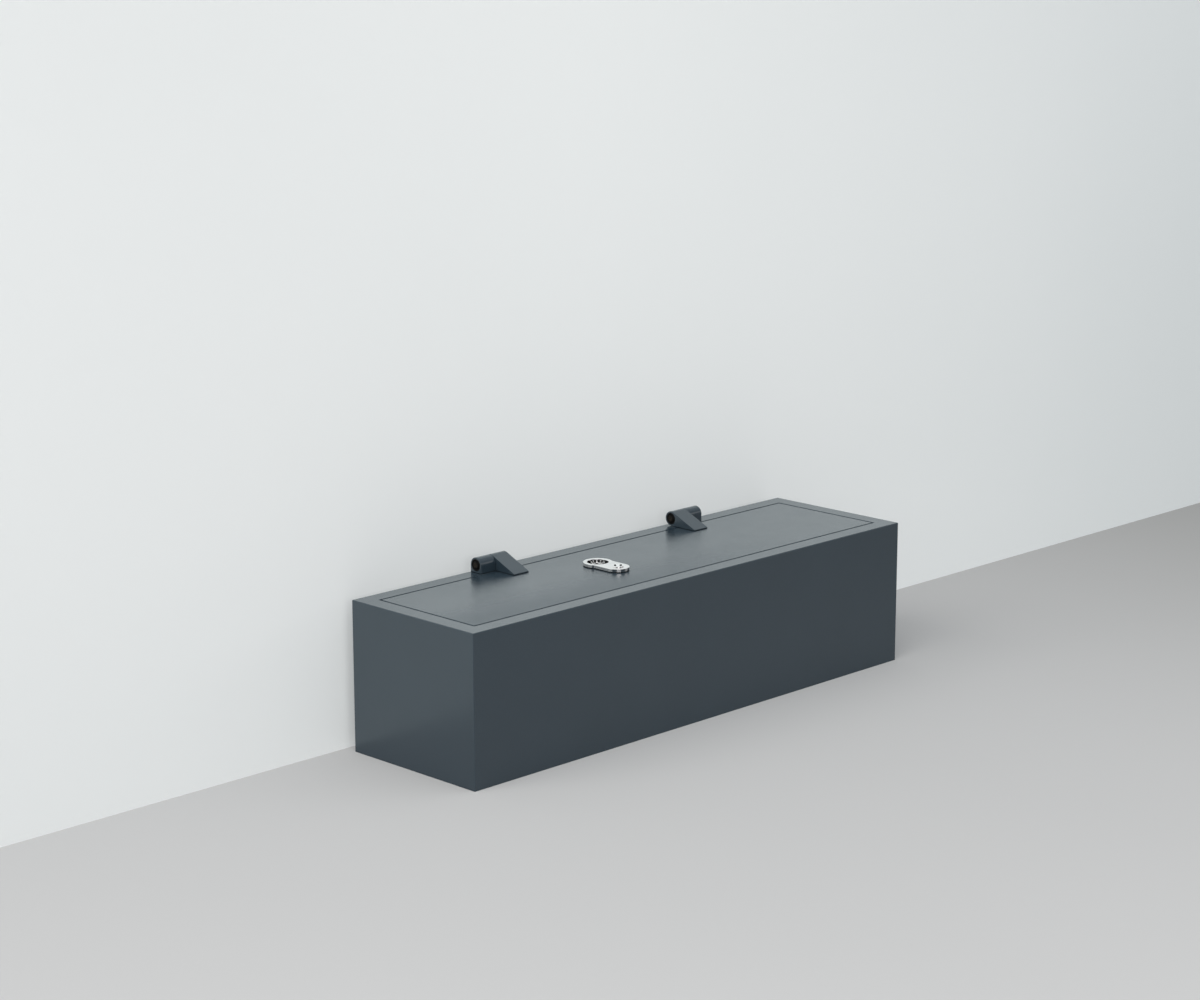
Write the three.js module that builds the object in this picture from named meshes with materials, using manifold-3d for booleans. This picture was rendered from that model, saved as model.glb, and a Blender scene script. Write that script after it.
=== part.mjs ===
// Long, low steel security chest with a flush lid on top, external weld-on hinges and a key lock.
// Millimetres, +Z up, +X along the length, -Y towards the front. Origin: middle of the base.
// The rest pose is the closed lid with the bolts drawn back, as the key leaves them to open it.

import * as THREE from "three";
import { mergeVertices } from "three/addons/utils/BufferGeometryUtils.js";
import Module from "manifold-3d";

const wasm = await Module();
wasm.setup();

// Chest
const length = 1000;
const depth = 278;
const height = 247;
const wall = 3;
const frameWidth = 29.5;
const topPlate = 4;
const edgeRadius = 1.5;
const ledgeReach = 10;
const ledgeThickness = 4;

// Floor anchors and mat
const anchorRadius = 7;
const anchorInsetX = 100;
const anchorInsetY = 55;
const plugHeadRadius = 10;
const plugHeadHeight = 1.5;
const matThickness = 4;
const matMargin = 1.5;

// Lid
const lidGap = 3;
const lidCornerRadius = 2;
const railSheet = 3;
const railFlange = 15;
const railBendRadius = 2;
const railSwing = 6.5;
const railMargin = 7.5;
const rearRailInset = 12;

// Hinges
const hingeMiddle = 9.5;
const hingeInset = 271;
const knuckleRadius = 12.5;
const knuckleLift = 0.5;
const knuckleLength = 31.5;
const strapWidth = 32.5;
const knuckleGap = 0.4;
const hingeBackSet = 14.5;
const strapReach = 56;
const strapTip = 2;
const hingeBevel = 0.8;
const pinRadius = 7;
const pinBoreRadius = 7.3;
const boreMouthRadius = 8.8;
const boreMouthDepth = 1.5;
const pinStand = 0.8;
const pinChamfer = 1.5;

// Studs that hook under the rear frame strip
const fixedBoltRadius = 6.5;
const fixedBoltHook = 6;
const fixedBoltDrop = 6;
const fixedBoltChamfer = 1.5;

// Round bolts and their bar
const boltInset = 170;
const boltRadius = 9;
const boltPlay = 1.5;
const boltClearance = 0.4;
const boltChamfer = 2;
const boltSeat = 34;
const boltScrewDepth = 4.5;
const barThickness = 5;
const barWidth = 48;
const barOverhang = 30;
const barClearance = 2;
const slideGap = 0.3;
const guideInset = 260;
const studShankRadius = 4;
const studCollarRadius = 7;
const studHeadHeight = 3.5;
const studInset = 14;
const slotSpare = 0.5;

// Rack and pinion
const gearModule = 1.2;
const pinionTeeth = 12;
const pressureAngle = THREE.MathUtils.degToRad(25);
const gearBacklash = 0.25;
const rackThickness = 8;
const rackWidth = 11;
const rackSpareTeeth = 2;
const rackSetIn = 4;
const pinionBoreGap = 0.1;
const flankSteps = 5;

// Lock plate and lock
const lockX = -77.8;
const lockSet = 158.9;
const plateThickness = 5;
const sealThickness = 1.4;
const sealInset = 0.5;
const plateHeadRadius = 24.2;
const plateBodyHalfWidth = 20.5;
const plateReach = 64.3;
const plateBevel = 0.6;
const plateHoleRadius = 17.5;
const bossClearance = 0.3;
const bossSink = 7;
const rotorRadius = 9.5;
const rotorSink = 3.6;
const keywayWidth = 5;
const keywayLength = 17;
const keywayDepth = 15.5;
const keyShankRadius = 4;
const collarRadius = 11.75;
const collarSink = 0.5;
const collarTeeth = 10;
const collarNotch = 3.7;
const collarToothHeight = 2.8;
const collarSeatGap = 0.1;
const spindleRadius = 4;
const caseWall = 6;
const caseLug = 12;
const caseCornerRadius = 4;
const lockCoverThickness = 2;
const capSet = 45.9;
const capRadius = 9;
const capHeight = 3;
const capEdge = 0.6;
const capGap = 0.2;
const capTurn = THREE.MathUtils.degToRad(-41.6);
const capHoleSpacing = 9.4;
const capHoleRadius = 1.6;
const capHoleDepth = 2.2;
const capShankRadius = 4;
const capNutRadius = 7;
const capNutHeight = 5;
const capNutSides = 6;

// Cover over the boltwork, and screws
const coverThickness = 1.5;
const coverInset = 1;
const coverCornerRadius = 4;
const coverScrewInset = 100;
const screwRadius = 2.5;
const screwHole = 2.8;
const screwHeadRadius = 4.5;
const screwHeadHeight = 2.2;
const coverScrewLength = 6;
const screwInset = 17;
const screwEdge = 0.8;
const matCornerRadius = 4;
const barCornerRadius = 3;

// How far a cutting tool reaches past what it cuts
const overcut = 1;

// Faces per full circle
const roundSegments = 40;
const pinSegments = 24;
const smallSegments = 16;
const arcSegments = 12;
const cornerSegments = 3;

// Heights and edges worked out from the sizes above
const halfLength = length / 2;
const halfDepth = depth / 2;
const plateBottom = height - topPlate;
const innerX = halfLength - frameWidth;
const innerY = halfDepth - frameWidth;
const lidHalfX = innerX - lidGap;
const lidHalfY = innerY - lidGap;
const ledgeEdgeX = innerX - ledgeReach;
const ledgeEdgeY = innerY - ledgeReach;
const ledgeBottom = plateBottom - ledgeThickness;

const boltAxisZ = ledgeBottom - boltPlay - boltRadius;
const railBottom = boltAxisZ - boltRadius - railMargin;
const railFrontY = -(ledgeEdgeY - railSwing);
const railRearY = lidHalfY - rearRailInset;
const railSideX = ledgeEdgeX - railSwing;

// Places along the length and from the front
const hingeSpread = halfLength - hingeInset;
const boltSpacing = halfLength - boltInset;
const guideSpread = halfLength - guideInset;
const coverScrewSpread = halfLength - coverScrewInset;
const lockY = lockSet - halfDepth;
const capY = lockY - capSet;
const boltPlaces = { left: -boltSpacing, centre: 0, right: boltSpacing };
const guidePlaces = { left: -guideSpread, right: guideSpread };
const coverScrewPlaces = { left: -coverScrewSpread, right: coverScrewSpread };

const pitchRadius = gearModule * pinionTeeth / 2;
const boltThrow = pitchRadius * Math.PI;
const barFrontY = railFrontY + railSheet + barClearance + boltThrow;
const barRearY = barFrontY + barWidth;
const barBottom = boltAxisZ;
const barTop = barBottom + barThickness;
const barHalfX = boltSpacing + barOverhang;

const pivotY = halfDepth - hingeBackSet;
const pivotZ = height + knuckleLift + knuckleRadius;

const sealTop = height + sealThickness;
const plateTop = sealTop + plateThickness;
const capTop = plateTop + capHeight;
const bossTop = plateTop - bossSink;
const rotorTop = plateTop - rotorSink;
const collarTop = plateTop - collarSink;
const bossRadius = plateHoleRadius - bossClearance;
const addendum = gearModule;
const dedendum = 1.25 * gearModule;
const toothPitch = Math.PI * gearModule;
const rackPitchX = lockX - pitchRadius;
const rackBackX = rackPitchX - rackWidth;
const rackTop = barBottom;
const rackBottom = rackTop - rackThickness;
const rackTeeth = Math.ceil(boltThrow / toothPitch) + 2 * rackSpareTeeth;
const rackStartY = lockY - (rackSpareTeeth + 0.5) * toothPitch;
const rackEndY = rackStartY + rackTeeth * toothPitch;
const caseHalfX = lockX - rackBackX + slideGap + caseLug;
const caseFrontY = barRearY + barClearance;
const caseRearY = rackEndY + slideGap + caseWall;
const caseBottom = rackBottom - slideGap;
const lockCoverBottom = caseBottom - lockCoverThickness;

// Materials, one colour per finish
function finish(colour, roughness, metalness) {
  return new THREE.MeshStandardMaterial({ color: colour, roughness, metalness });
}
const powderCoat = finish(0x3f464d, 0.6, 0);
const innerCoat = finish(0x383d43, 0.65, 0);
const chrome = finish(0xdfe2e5, 0.12, 1);
const barePin = finish(0x2b241f, 0.5, 0.8);
const zincSteel = finish(0xb9bcbd, 0.35, 1);
const castLock = finish(0x1c1e20, 0.5, 0.4);
const brightSteel = finish(0xc9ccce, 0.25, 1);
const blackRubber = finish(0x1b1c1d, 0.85, 0);

// Solids: three.js geometry in, cut or joined geometry out
function toSolid(geometry) {
  const bare = geometry.clone();
  bare.deleteAttribute("normal");
  bare.deleteAttribute("uv");
  const merged = mergeVertices(bare);
  const triangles = [];
  for (let i = 0; i < merged.index.count; i += 3) {
    const [a, b, c] = [0, 1, 2].map((k) => merged.index.getX(i + k));
    if (a !== b && b !== c && c !== a) triangles.push(a, b, c);
  }
  return new wasm.Manifold(new wasm.Mesh({
    numProp: 3,
    vertProperties: Float32Array.from(merged.attributes.position.array),
    triVerts: Uint32Array.from(triangles),
  }));
}

function toGeometry(solid) {
  const mesh = solid.getMesh();
  const geometry = new THREE.BufferGeometry();
  geometry.setAttribute("position", new THREE.BufferAttribute(mesh.vertProperties, 3));
  geometry.setIndex(new THREE.BufferAttribute(mesh.triVerts, 1));
  geometry.computeVertexNormals();
  return geometry;
}

function cut(base, ...tools) {
  const result = tools.reduce((solid, tool) => solid.subtract(toSolid(tool)), toSolid(base));
  return toGeometry(result);
}

function join(...pieces) {
  return toGeometry(pieces.map(toSolid).reduce((sum, solid) => sum.add(solid)));
}

function intersect(base, tool) {
  return toGeometry(toSolid(base).intersect(toSolid(tool)));
}

// Forms: boxes between two corners, extrusions along an axis, turned pieces
function block(x0, x1, y0, y1, z0, z1) {
  const geometry = new THREE.BoxGeometry(x1 - x0, y1 - y0, z1 - z0);
  return geometry.translate((x0 + x1) / 2, (y0 + y1) / 2, (z0 + z1) / 2);
}

const axisX = new THREE.Vector3(1, 0, 0);
const axisY = new THREE.Vector3(0, 1, 0);
const axisZ = new THREE.Vector3(0, 0, 1);
const shapeToYZ = new THREE.Matrix4().makeBasis(axisY, axisZ, axisX);
const shapeToXZ = new THREE.Matrix4().makeBasis(axisX, axisZ, axisY.clone().negate());

function extrude(shape, thickness, bevel, segments) {
  return new THREE.ExtrudeGeometry(shape, {
    depth: thickness - 2 * bevel,
    bevelEnabled: bevel > 0,
    bevelThickness: bevel,
    bevelSize: bevel,
    bevelOffset: -bevel,
    bevelSegments: 1,
    curveSegments: segments,
  }).translate(0, 0, bevel);
}

function alongZ(shape, z0, z1, bevel = 0, segments = cornerSegments) {
  return extrude(shape, z1 - z0, bevel, segments).translate(0, 0, z0);
}

// The shape's x and y are the part's Y and Z
function alongX(shape, x0, x1, bevel = 0, segments = cornerSegments) {
  return extrude(shape, x1 - x0, bevel, segments).applyMatrix4(shapeToYZ).translate(x0, 0, 0);
}

// The shape's x and y are the part's X and Z
function alongY(shape, y0, y1, bevel = 0, segments = cornerSegments) {
  return extrude(shape, y1 - y0, bevel, segments).applyMatrix4(shapeToXZ).translate(0, y1, 0);
}

// Turned pieces: [radius, place] pairs, rising along the axis, that start and end on it
function lathe(profile, segments) {
  return new THREE.LatheGeometry(profile.map(([radius, y]) => new THREE.Vector2(radius, y)), segments);
}

function turnedX(profile, y, z, segments = roundSegments) {
  return lathe(profile, segments).rotateZ(-Math.PI / 2).translate(0, y, z);
}

function turnedY(profile, x, z, segments = roundSegments) {
  return lathe(profile, segments).translate(x, 0, z);
}

function turnedZ(profile, x, y, segments = roundSegments) {
  return lathe(profile, segments).rotateX(Math.PI / 2).translate(x, y, 0);
}

function rod(radius, from, to) {
  return [[0, from], [radius, from], [radius, to], [0, to]];
}

function rodZ(radius, z0, z1, x, y, segments = smallSegments) {
  return turnedZ(rod(radius, z0, z1), x, y, segments);
}

function polygon(points) {
  return new THREE.Shape(points.map(([x, y]) => new THREE.Vector2(x, y)));
}

// A rectangle whose corners take their own radii: low left, low right, top right, top left
function cornered(x0, x1, y0, y1, [lowLeft, lowRight, topRight, topLeft]) {
  const shape = new THREE.Shape();
  shape.moveTo(x0 + lowLeft, y0);
  shape.lineTo(x1 - lowRight, y0);
  if (lowRight) shape.absarc(x1 - lowRight, y0 + lowRight, lowRight, -Math.PI / 2, 0);
  shape.lineTo(x1, y1 - topRight);
  if (topRight) shape.absarc(x1 - topRight, y1 - topRight, topRight, 0, Math.PI / 2);
  shape.lineTo(x0 + topLeft, y1);
  if (topLeft) shape.absarc(x0 + topLeft, y1 - topLeft, topLeft, Math.PI / 2, Math.PI);
  shape.lineTo(x0, y0 + lowLeft);
  if (lowLeft) shape.absarc(x0 + lowLeft, y0 + lowLeft, lowLeft, Math.PI, 1.5 * Math.PI);
  return shape;
}

function rounded(x0, x1, y0, y1, radius) {
  return cornered(x0, x1, y0, y1, [radius, radius, radius, radius]);
}

function roundHole(x, y, radius, segments = smallSegments) {
  const corners = Array.from({ length: segments }, (_, index) => index * 2 * Math.PI / segments);
  return new THREE.Path(corners.map((angle) =>
    new THREE.Vector2(x + radius * Math.cos(angle), y + radius * Math.sin(angle))));
}

function slotHole(x, y0, y1, radius) {
  const path = new THREE.Path();
  path.moveTo(x + radius, y0);
  path.lineTo(x + radius, y1);
  path.absarc(x, y1, radius, 0, Math.PI);
  path.lineTo(x - radius, y0);
  path.absarc(x, y0, radius, Math.PI, 2 * Math.PI);
  return path;
}

// A pan head screw: shank from the seat one way, head the other way
function screw(x, y, seat, shankLength, headUp) {
  const way = headUp ? 1 : -1;
  const profile = [[0, -shankLength], [screwRadius, -shankLength], [screwRadius, 0], [screwHeadRadius, 0],
    [screwHeadRadius, screwHeadHeight - screwEdge], [screwHeadRadius - screwEdge, screwHeadHeight],
    [0, screwHeadHeight]].map(([radius, step]) => [radius, seat + way * step]);
  return turnedZ(headUp ? profile : profile.reverse(), x, y, smallSegments);
}

const chest = new THREE.Group();
const lid = new THREE.Group();
const boltwork = new THREE.Group();
const keyRotor = new THREE.Group();
chest.add(lid);
lid.add(boltwork, keyRotor);

function add(group, name, geometry, material, place = [0, 0, 0]) {
  const mesh = new THREE.Mesh(geometry, material);
  mesh.name = name;
  mesh.position.set(...place);
  group.add(mesh);
}

const innerHalfX = halfLength - wall;
const innerHalfY = halfDepth - wall;

function makeWalls() {
  const front = cornered(-halfLength, halfLength, -halfDepth, -innerHalfY, [edgeRadius, edgeRadius, 0, 0]);
  const rear = cornered(-halfLength, halfLength, innerHalfY, halfDepth, [0, 0, edgeRadius, edgeRadius]);
  const end = block(0, wall, -innerHalfY, innerHalfY, 0, plateBottom);
  add(chest, "front_wall", alongZ(front, 0, plateBottom), powderCoat);
  add(chest, "rear_wall", alongZ(rear, 0, plateBottom), powderCoat);
  add(chest, "end_wall_left", end, powderCoat, [-halfLength, 0, 0]);
  add(chest, "end_wall_right", end, powderCoat, [innerHalfX, 0, 0]);
}

// Floor plate with four anchor holes, their bungs, and a mat that leaves them free
function makeFloor() {
  const matX = innerHalfX - matMargin;
  const matY = innerHalfY - matMargin;
  const floor = rounded(-innerHalfX, innerHalfX, -innerHalfY, innerHalfY, 0);
  const mat = rounded(-matX, matX, -matY, matY, matCornerRadius);
  const stem = anchorRadius - slideGap;
  const headTop = wall + plugHeadHeight;
  const profile = [[0, slideGap], [stem, slideGap], [stem, wall], [plugHeadRadius, wall],
    [plugHeadRadius - screwEdge, headTop], [0, headTop]];
  const plug = turnedZ(profile, 0, 0, smallSegments);
  for (const [nameY, sideY] of [["front", -1], ["rear", 1]]) {
    for (const [nameX, sideX] of [["left", -1], ["right", 1]]) {
      const x = sideX * (halfLength - anchorInsetX);
      const y = sideY * (halfDepth - anchorInsetY);
      floor.holes.push(roundHole(x, y, anchorRadius));
      mat.holes.push(roundHole(x, y, plugHeadRadius + matMargin));
      add(chest, `anchor_plug_${nameY}_${nameX}`, plug, blackRubber, [x, y, 0]);
    }
  }
  add(chest, "floor_plate", alongZ(floor, 0, wall), innerCoat);
  add(chest, "floor_mat", alongZ(mat, wall, wall + matThickness), blackRubber);
}

// Mitred frame strips: bars with a rounded outer top edge, cut at 45 degrees
function makeFrame() {
  const outline = alongZ(rounded(-halfLength, halfLength, -halfDepth, halfDepth, edgeRadius),
    plateBottom, height);
  for (const [side, long, short] of [[-1, "frame_front", "frame_left"], [1, "frame_rear", "frame_right"]]) {
    const radii = side < 0 ? [0, 0, 0, edgeRadius] : [0, 0, edgeRadius, 0];
    const [y0, y1] = side < 0 ? [-halfDepth, -innerY] : [innerY, halfDepth];
    const [x0, x1] = side < 0 ? [-halfLength, -innerX] : [innerX, halfLength];
    const longBar = alongX(cornered(y0, y1, plateBottom, height, radii), -halfLength, halfLength);
    const shortBar = alongY(cornered(x0, x1, plateBottom, height, radii), -halfDepth, halfDepth);
    const longMitre = polygon([[-halfLength, side * halfDepth], [halfLength, side * halfDepth],
      [innerX, side * innerY], [-innerX, side * innerY]]);
    const shortMitre = polygon([[side * halfLength, -halfDepth], [side * halfLength, halfDepth],
      [side * innerX, innerY], [side * innerX, -innerY]]);
    const trim = (bar, mitre) => intersect(intersect(bar, alongZ(mitre, plateBottom, height)), outline);
    add(chest, long, trim(longBar, longMitre), powderCoat);
    add(chest, short, trim(shortBar, shortMitre), powderCoat);
  }
}

// Bars under the frame that carry the lid; the front one also keeps the thrown bolts down
function makeLedges() {
  const front = block(-innerHalfX, innerHalfX, -innerHalfY, -ledgeEdgeY, ledgeBottom, plateBottom);
  const side = block(0, innerHalfX - ledgeEdgeX, -ledgeEdgeY, innerHalfY, ledgeBottom, plateBottom);
  add(chest, "ledge_front", front, innerCoat);
  add(chest, "ledge_left", side, innerCoat, [-innerHalfX, 0, 0]);
  add(chest, "ledge_right", side, innerCoat, [ledgeEdgeX, 0, 0]);
}

// The fixed knuckle: round on top, with flat sides down to the frame
function knuckleShape() {
  const shape = new THREE.Shape();
  shape.moveTo(pivotY - knuckleRadius, height);
  shape.lineTo(pivotY + knuckleRadius, height);
  shape.lineTo(pivotY + knuckleRadius, pivotZ);
  shape.absarc(pivotY, pivotZ, knuckleRadius, 0, Math.PI);
  shape.lineTo(pivotY - knuckleRadius, height);
  return shape;
}

// The strap: a full round knuckle, and a wedge that slopes down from it to a thin tip
function strapShape() {
  const tipY = pivotY - strapReach;
  const tipRise = pivotZ - height - strapTip;
  const slope = Math.atan2(tipRise, strapReach) + Math.asin(knuckleRadius / Math.hypot(strapReach, tipRise));
  const shape = new THREE.Shape();
  shape.moveTo(tipY, height + strapTip);
  shape.lineTo(tipY, height);
  shape.lineTo(lidHalfY, height);
  shape.lineTo(lidHalfY, height + knuckleLift);
  shape.absarc(pivotY, pivotZ, knuckleRadius, -Math.PI / 2, slope + Math.PI / 2);
  shape.lineTo(tipY, height + strapTip);
  return shape;
}

// The widened mouth of a pin bore, from an end face inwards
function boreMouth(endX, inward) {
  const steps = [[0, -overcut], [boreMouthRadius, -overcut], [boreMouthRadius, 0],
    [pinBoreRadius, boreMouthDepth], [0, boreMouthDepth]];
  const profile = steps.map(([radius, step]) => [radius, endX + inward * step]);
  return turnedX(inward > 0 ? profile : profile.reverse(), pivotY, pivotZ);
}

// A hinge pin's profile, with both ends chamfered
function chamferedRod(radius, from, to) {
  return [[0, from], [radius - pinChamfer, from], [radius, from + pinChamfer],
    [radius, to - pinChamfer], [radius - pinChamfer, to], [0, to]];
}

function makeHinges() {
  for (const [side, name] of [[-1, "left"], [1, "right"]]) {
    const seam = hingeMiddle + side * hingeSpread;
    const outer = seam + side * knuckleLength;
    const strapStart = seam - side * knuckleGap;
    const inner = strapStart - side * strapWidth;
    const boreFrom = Math.min(inner, outer) - overcut;
    const boreTo = Math.max(inner, outer) + overcut;
    const bore = turnedX(rod(pinBoreRadius, boreFrom, boreTo), pivotY, pivotZ);
    const barrel = (shape, a, b) => alongX(shape, Math.min(a, b), Math.max(a, b), hingeBevel, arcSegments);
    const knuckle = cut(barrel(knuckleShape(), seam, outer), bore, boreMouth(outer, -side));
    const strap = cut(barrel(strapShape(), strapStart, inner), bore, boreMouth(inner, side));
    const pinEnds = [outer + side * pinStand, inner - side * pinStand];
    const pinProfile = chamferedRod(pinRadius, Math.min(...pinEnds), Math.max(...pinEnds));
    const pin = turnedX(pinProfile, pivotY, pivotZ, pinSegments);
    add(chest, `hinge_knuckle_${name}`, knuckle, powderCoat);
    add(chest, `hinge_pin_${name}`, pin, barePin);
    add(lid, `hinge_strap_${name}`, strap, powderCoat);
  }
}

function makeLidPlate() {
  const shape = rounded(-lidHalfX, lidHalfX, -lidHalfY, lidHalfY, lidCornerRadius);
  shape.holes.push(roundHole(lockX, lockY, plateHoleRadius, roundSegments));
  shape.holes.push(roundHole(lockX, capY, capShankRadius + capGap));
  add(lid, "lid_plate", alongZ(shape, plateBottom, height), powderCoat);
}

// A folded rail from its end: a web down from the lid and a flange that turns inwards
function railShape(face, inward) {
  const bend = railSheet + railBendRadius;
  const bendCentre = face + inward * bend;
  const level = railBottom + bend;
  const outward = inward > 0 ? Math.PI : 0;
  const down = inward > 0 ? 1.5 * Math.PI : -Math.PI / 2;
  const shape = new THREE.Shape();
  shape.moveTo(face, plateBottom);
  shape.absarc(bendCentre, level, bend, outward, down, inward < 0);
  shape.lineTo(face + inward * railFlange, railBottom);
  shape.lineTo(face + inward * railFlange, railBottom + railSheet);
  shape.absarc(bendCentre, level, railBendRadius, down, outward, inward > 0);
  shape.lineTo(face + inward * railSheet, plateBottom);
  shape.lineTo(face, plateBottom);
  return shape;
}

const flangeMiddle = (railFlange + railSheet + railBendRadius) / 2;
const coverScrewRows = { front: railFrontY + flangeMiddle, rear: railRearY - flangeMiddle };

function coverScrewHoles(row) {
  return Object.values(coverScrewPlaces).map((x) =>
    rodZ(screwHole, railBottom - overcut, railBottom + railSheet + overcut, x, row));
}

function makeRails() {
  const boltHoles = Object.values(boltPlaces).map((x) => turnedY(
    rod(boltRadius + boltClearance, railFrontY - overcut, railFrontY + railSheet + overcut), x, boltAxisZ));
  const frontBar = alongX(railShape(railFrontY, 1), -railSideX, railSideX);
  const rearBar = alongX(railShape(railRearY, -1), -railSideX, railSideX);
  add(lid, "lid_rail_front",
    cut(frontBar, ...boltHoles, ...coverScrewHoles(coverScrewRows.front)), innerCoat);
  add(lid, "lid_rail_rear", cut(rearBar, ...coverScrewHoles(coverScrewRows.rear)), innerCoat);
  for (const [side, name] of [[-1, "left"], [1, "right"]]) {
    const bar = alongY(railShape(side * railSideX, -side), railFrontY, railRearY);
    add(lid, `lid_rail_${name}`, cut(bar, frontBar, rearBar, frontCorner, rearCorner), innerCoat);
  }
}

// What the long rails' outer bends leave open at the ends of the short ones
const railBend = railSheet + railBendRadius;
const frontCorner = block(-halfLength, halfLength, railFrontY - overcut, railFrontY + railBend,
  railBottom - overcut, railBottom + railBend);
const rearCorner = block(-halfLength, halfLength, railRearY - railBend, railRearY + overcut,
  railBottom - overcut, railBottom + railBend);

// Studs on the rear rail that hook under the rear frame strip while the lid is down
function makeFixedBolts() {
  const tip = innerY + fixedBoltHook;
  const axis = plateBottom - fixedBoltDrop - fixedBoltRadius;
  const profile = [[0, railRearY], [fixedBoltRadius, railRearY], [fixedBoltRadius, tip - fixedBoltChamfer],
    [fixedBoltRadius - fixedBoltChamfer, tip], [0, tip]];
  for (const [name, x] of Object.entries(boltPlaces)) {
    add(lid, `fixed_bolt_${name}`, turnedY(profile, 0, axis), zincSteel, [x, 0, 0]);
  }
}

const studY = barFrontY + studInset;
const boltScrewY = barFrontY + screwInset;
const rackRootX = rackPitchX - dedendum;
const rackTipX = rackPitchX + addendum;
const rackMiddleX = (rackBackX + rackRootX) / 2;

// Shouldered studs that carry the bolt bar through its slots
function makeGuideStuds() {
  const shankTop = barTop + slideGap;
  const shankBottom = barBottom - slideGap;
  const profile = [[0, shankBottom - studHeadHeight], [studCollarRadius, shankBottom - studHeadHeight],
    [studCollarRadius, shankBottom], [studShankRadius, shankBottom], [studShankRadius, shankTop],
    [studCollarRadius, shankTop], [studCollarRadius, plateBottom], [0, plateBottom]];
  const stud = turnedZ(profile, 0, studY, smallSegments);
  for (const [name, x] of Object.entries(guidePlaces)) {
    add(lid, `guide_stud_${name}`, stud, zincSteel, [x, 0, 0]);
  }
}

function makeBolts() {
  const rear = barFrontY + boltSeat;
  const profile = [[0, railFrontY], [boltRadius - boltChamfer, railFrontY],
    [boltRadius, railFrontY + boltChamfer], [boltRadius, rear], [0, rear]];
  const side = boltRadius + overcut;
  const seat = block(-side, side, barFrontY - slideGap, rear + overcut, boltAxisZ, boltAxisZ + side);
  const hole = rodZ(screwHole, boltAxisZ - boltScrewDepth, boltAxisZ + overcut, 0, boltScrewY);
  const bolt = cut(turnedY(profile, 0, boltAxisZ), seat, hole);
  for (const [name, x] of Object.entries(boltPlaces)) {
    add(boltwork, `bolt_${name}`, bolt, zincSteel, [x, 0, 0]);
  }
}

function makeBoltBar() {
  const shape = rounded(-barHalfX, barHalfX, barFrontY, barRearY, barCornerRadius);
  for (const x of Object.values(guidePlaces)) {
    shape.holes.push(slotHole(x, studY - slotSpare, studY + boltThrow + slotSpare,
      studShankRadius + slideGap));
  }
  const barScrew = screw(0, boltScrewY, barTop, barThickness + boltScrewDepth - slideGap, true);
  for (const [name, x] of [...Object.entries(boltPlaces), ["rack", rackMiddleX]]) {
    shape.holes.push(roundHole(x, boltScrewY, screwHole));
    add(boltwork, `bar_screw_${name}`, barScrew, zincSteel, [x, 0, 0]);
  }
  add(boltwork, "bolt_bar", alongZ(shape, barBottom, barTop), zincSteel);
}

// The rack that the pinion drives, screwed under the bolt bar
function makeRack() {
  const halfAtPitch = (toothPitch - gearBacklash) / 4;
  const halfAtTip = halfAtPitch - addendum * Math.tan(pressureAngle);
  const halfAtRoot = halfAtPitch + dedendum * Math.tan(pressureAngle);
  const outline = [[rackBackX, barFrontY + rackSetIn], [rackRootX, barFrontY + rackSetIn]];
  for (let tooth = 0; tooth < rackTeeth; tooth += 1) {
    const middle = rackStartY + (tooth + 0.5) * toothPitch;
    outline.push([rackRootX, middle - halfAtRoot], [rackTipX, middle - halfAtTip],
      [rackTipX, middle + halfAtTip], [rackRootX, middle + halfAtRoot]);
  }
  outline.push([rackRootX, rackEndY], [rackBackX, rackEndY]);
  const bar = alongZ(polygon(outline), rackBottom, rackTop);
  const hole = rodZ(screwHole, rackTop - boltScrewDepth, rackTop + overcut, rackMiddleX, boltScrewY);
  add(boltwork, "rack_bar", cut(bar, hole), zincSteel);
}

// Involute pinion; a gap between two teeth faces the rack at rest
function makePinion() {
  const baseRadius = pitchRadius * Math.cos(pressureAngle);
  const tipRadius = pitchRadius + addendum;
  const rootRadius = pitchRadius - dedendum;
  const involute = (angle) => Math.tan(angle) - angle;
  const halfAtPitch = Math.PI / (2 * pinionTeeth) - gearBacklash / (4 * pitchRadius);
  const halfAt = (radius) => halfAtPitch + involute(pressureAngle)
    - involute(Math.acos(Math.min(1, baseRadius / radius)));
  const radii = [rootRadius];
  for (let step = 0; step <= flankSteps; step += 1) {
    radii.push(baseRadius + (tipRadius - baseRadius) * step / flankSteps);
  }
  const outline = [];
  for (let tooth = 0; tooth < pinionTeeth; tooth += 1) {
    const middle = (tooth + 0.5) * 2 * Math.PI / pinionTeeth;
    const rise = radii.map((radius) => [radius, middle - halfAt(Math.max(radius, baseRadius))]);
    const fall = radii.map((radius) => [radius, middle + halfAt(Math.max(radius, baseRadius))]).reverse();
    for (const [radius, angle] of [...rise, ...fall]) {
      outline.push([lockX + radius * Math.cos(angle), lockY + radius * Math.sin(angle)]);
    }
  }
  const shape = polygon(outline);
  shape.holes.push(roundHole(lockX, lockY, spindleRadius + pinionBoreGap));
  add(keyRotor, "drive_pinion", alongZ(shape, rackBottom, rackTop), zincSteel);
}

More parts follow.
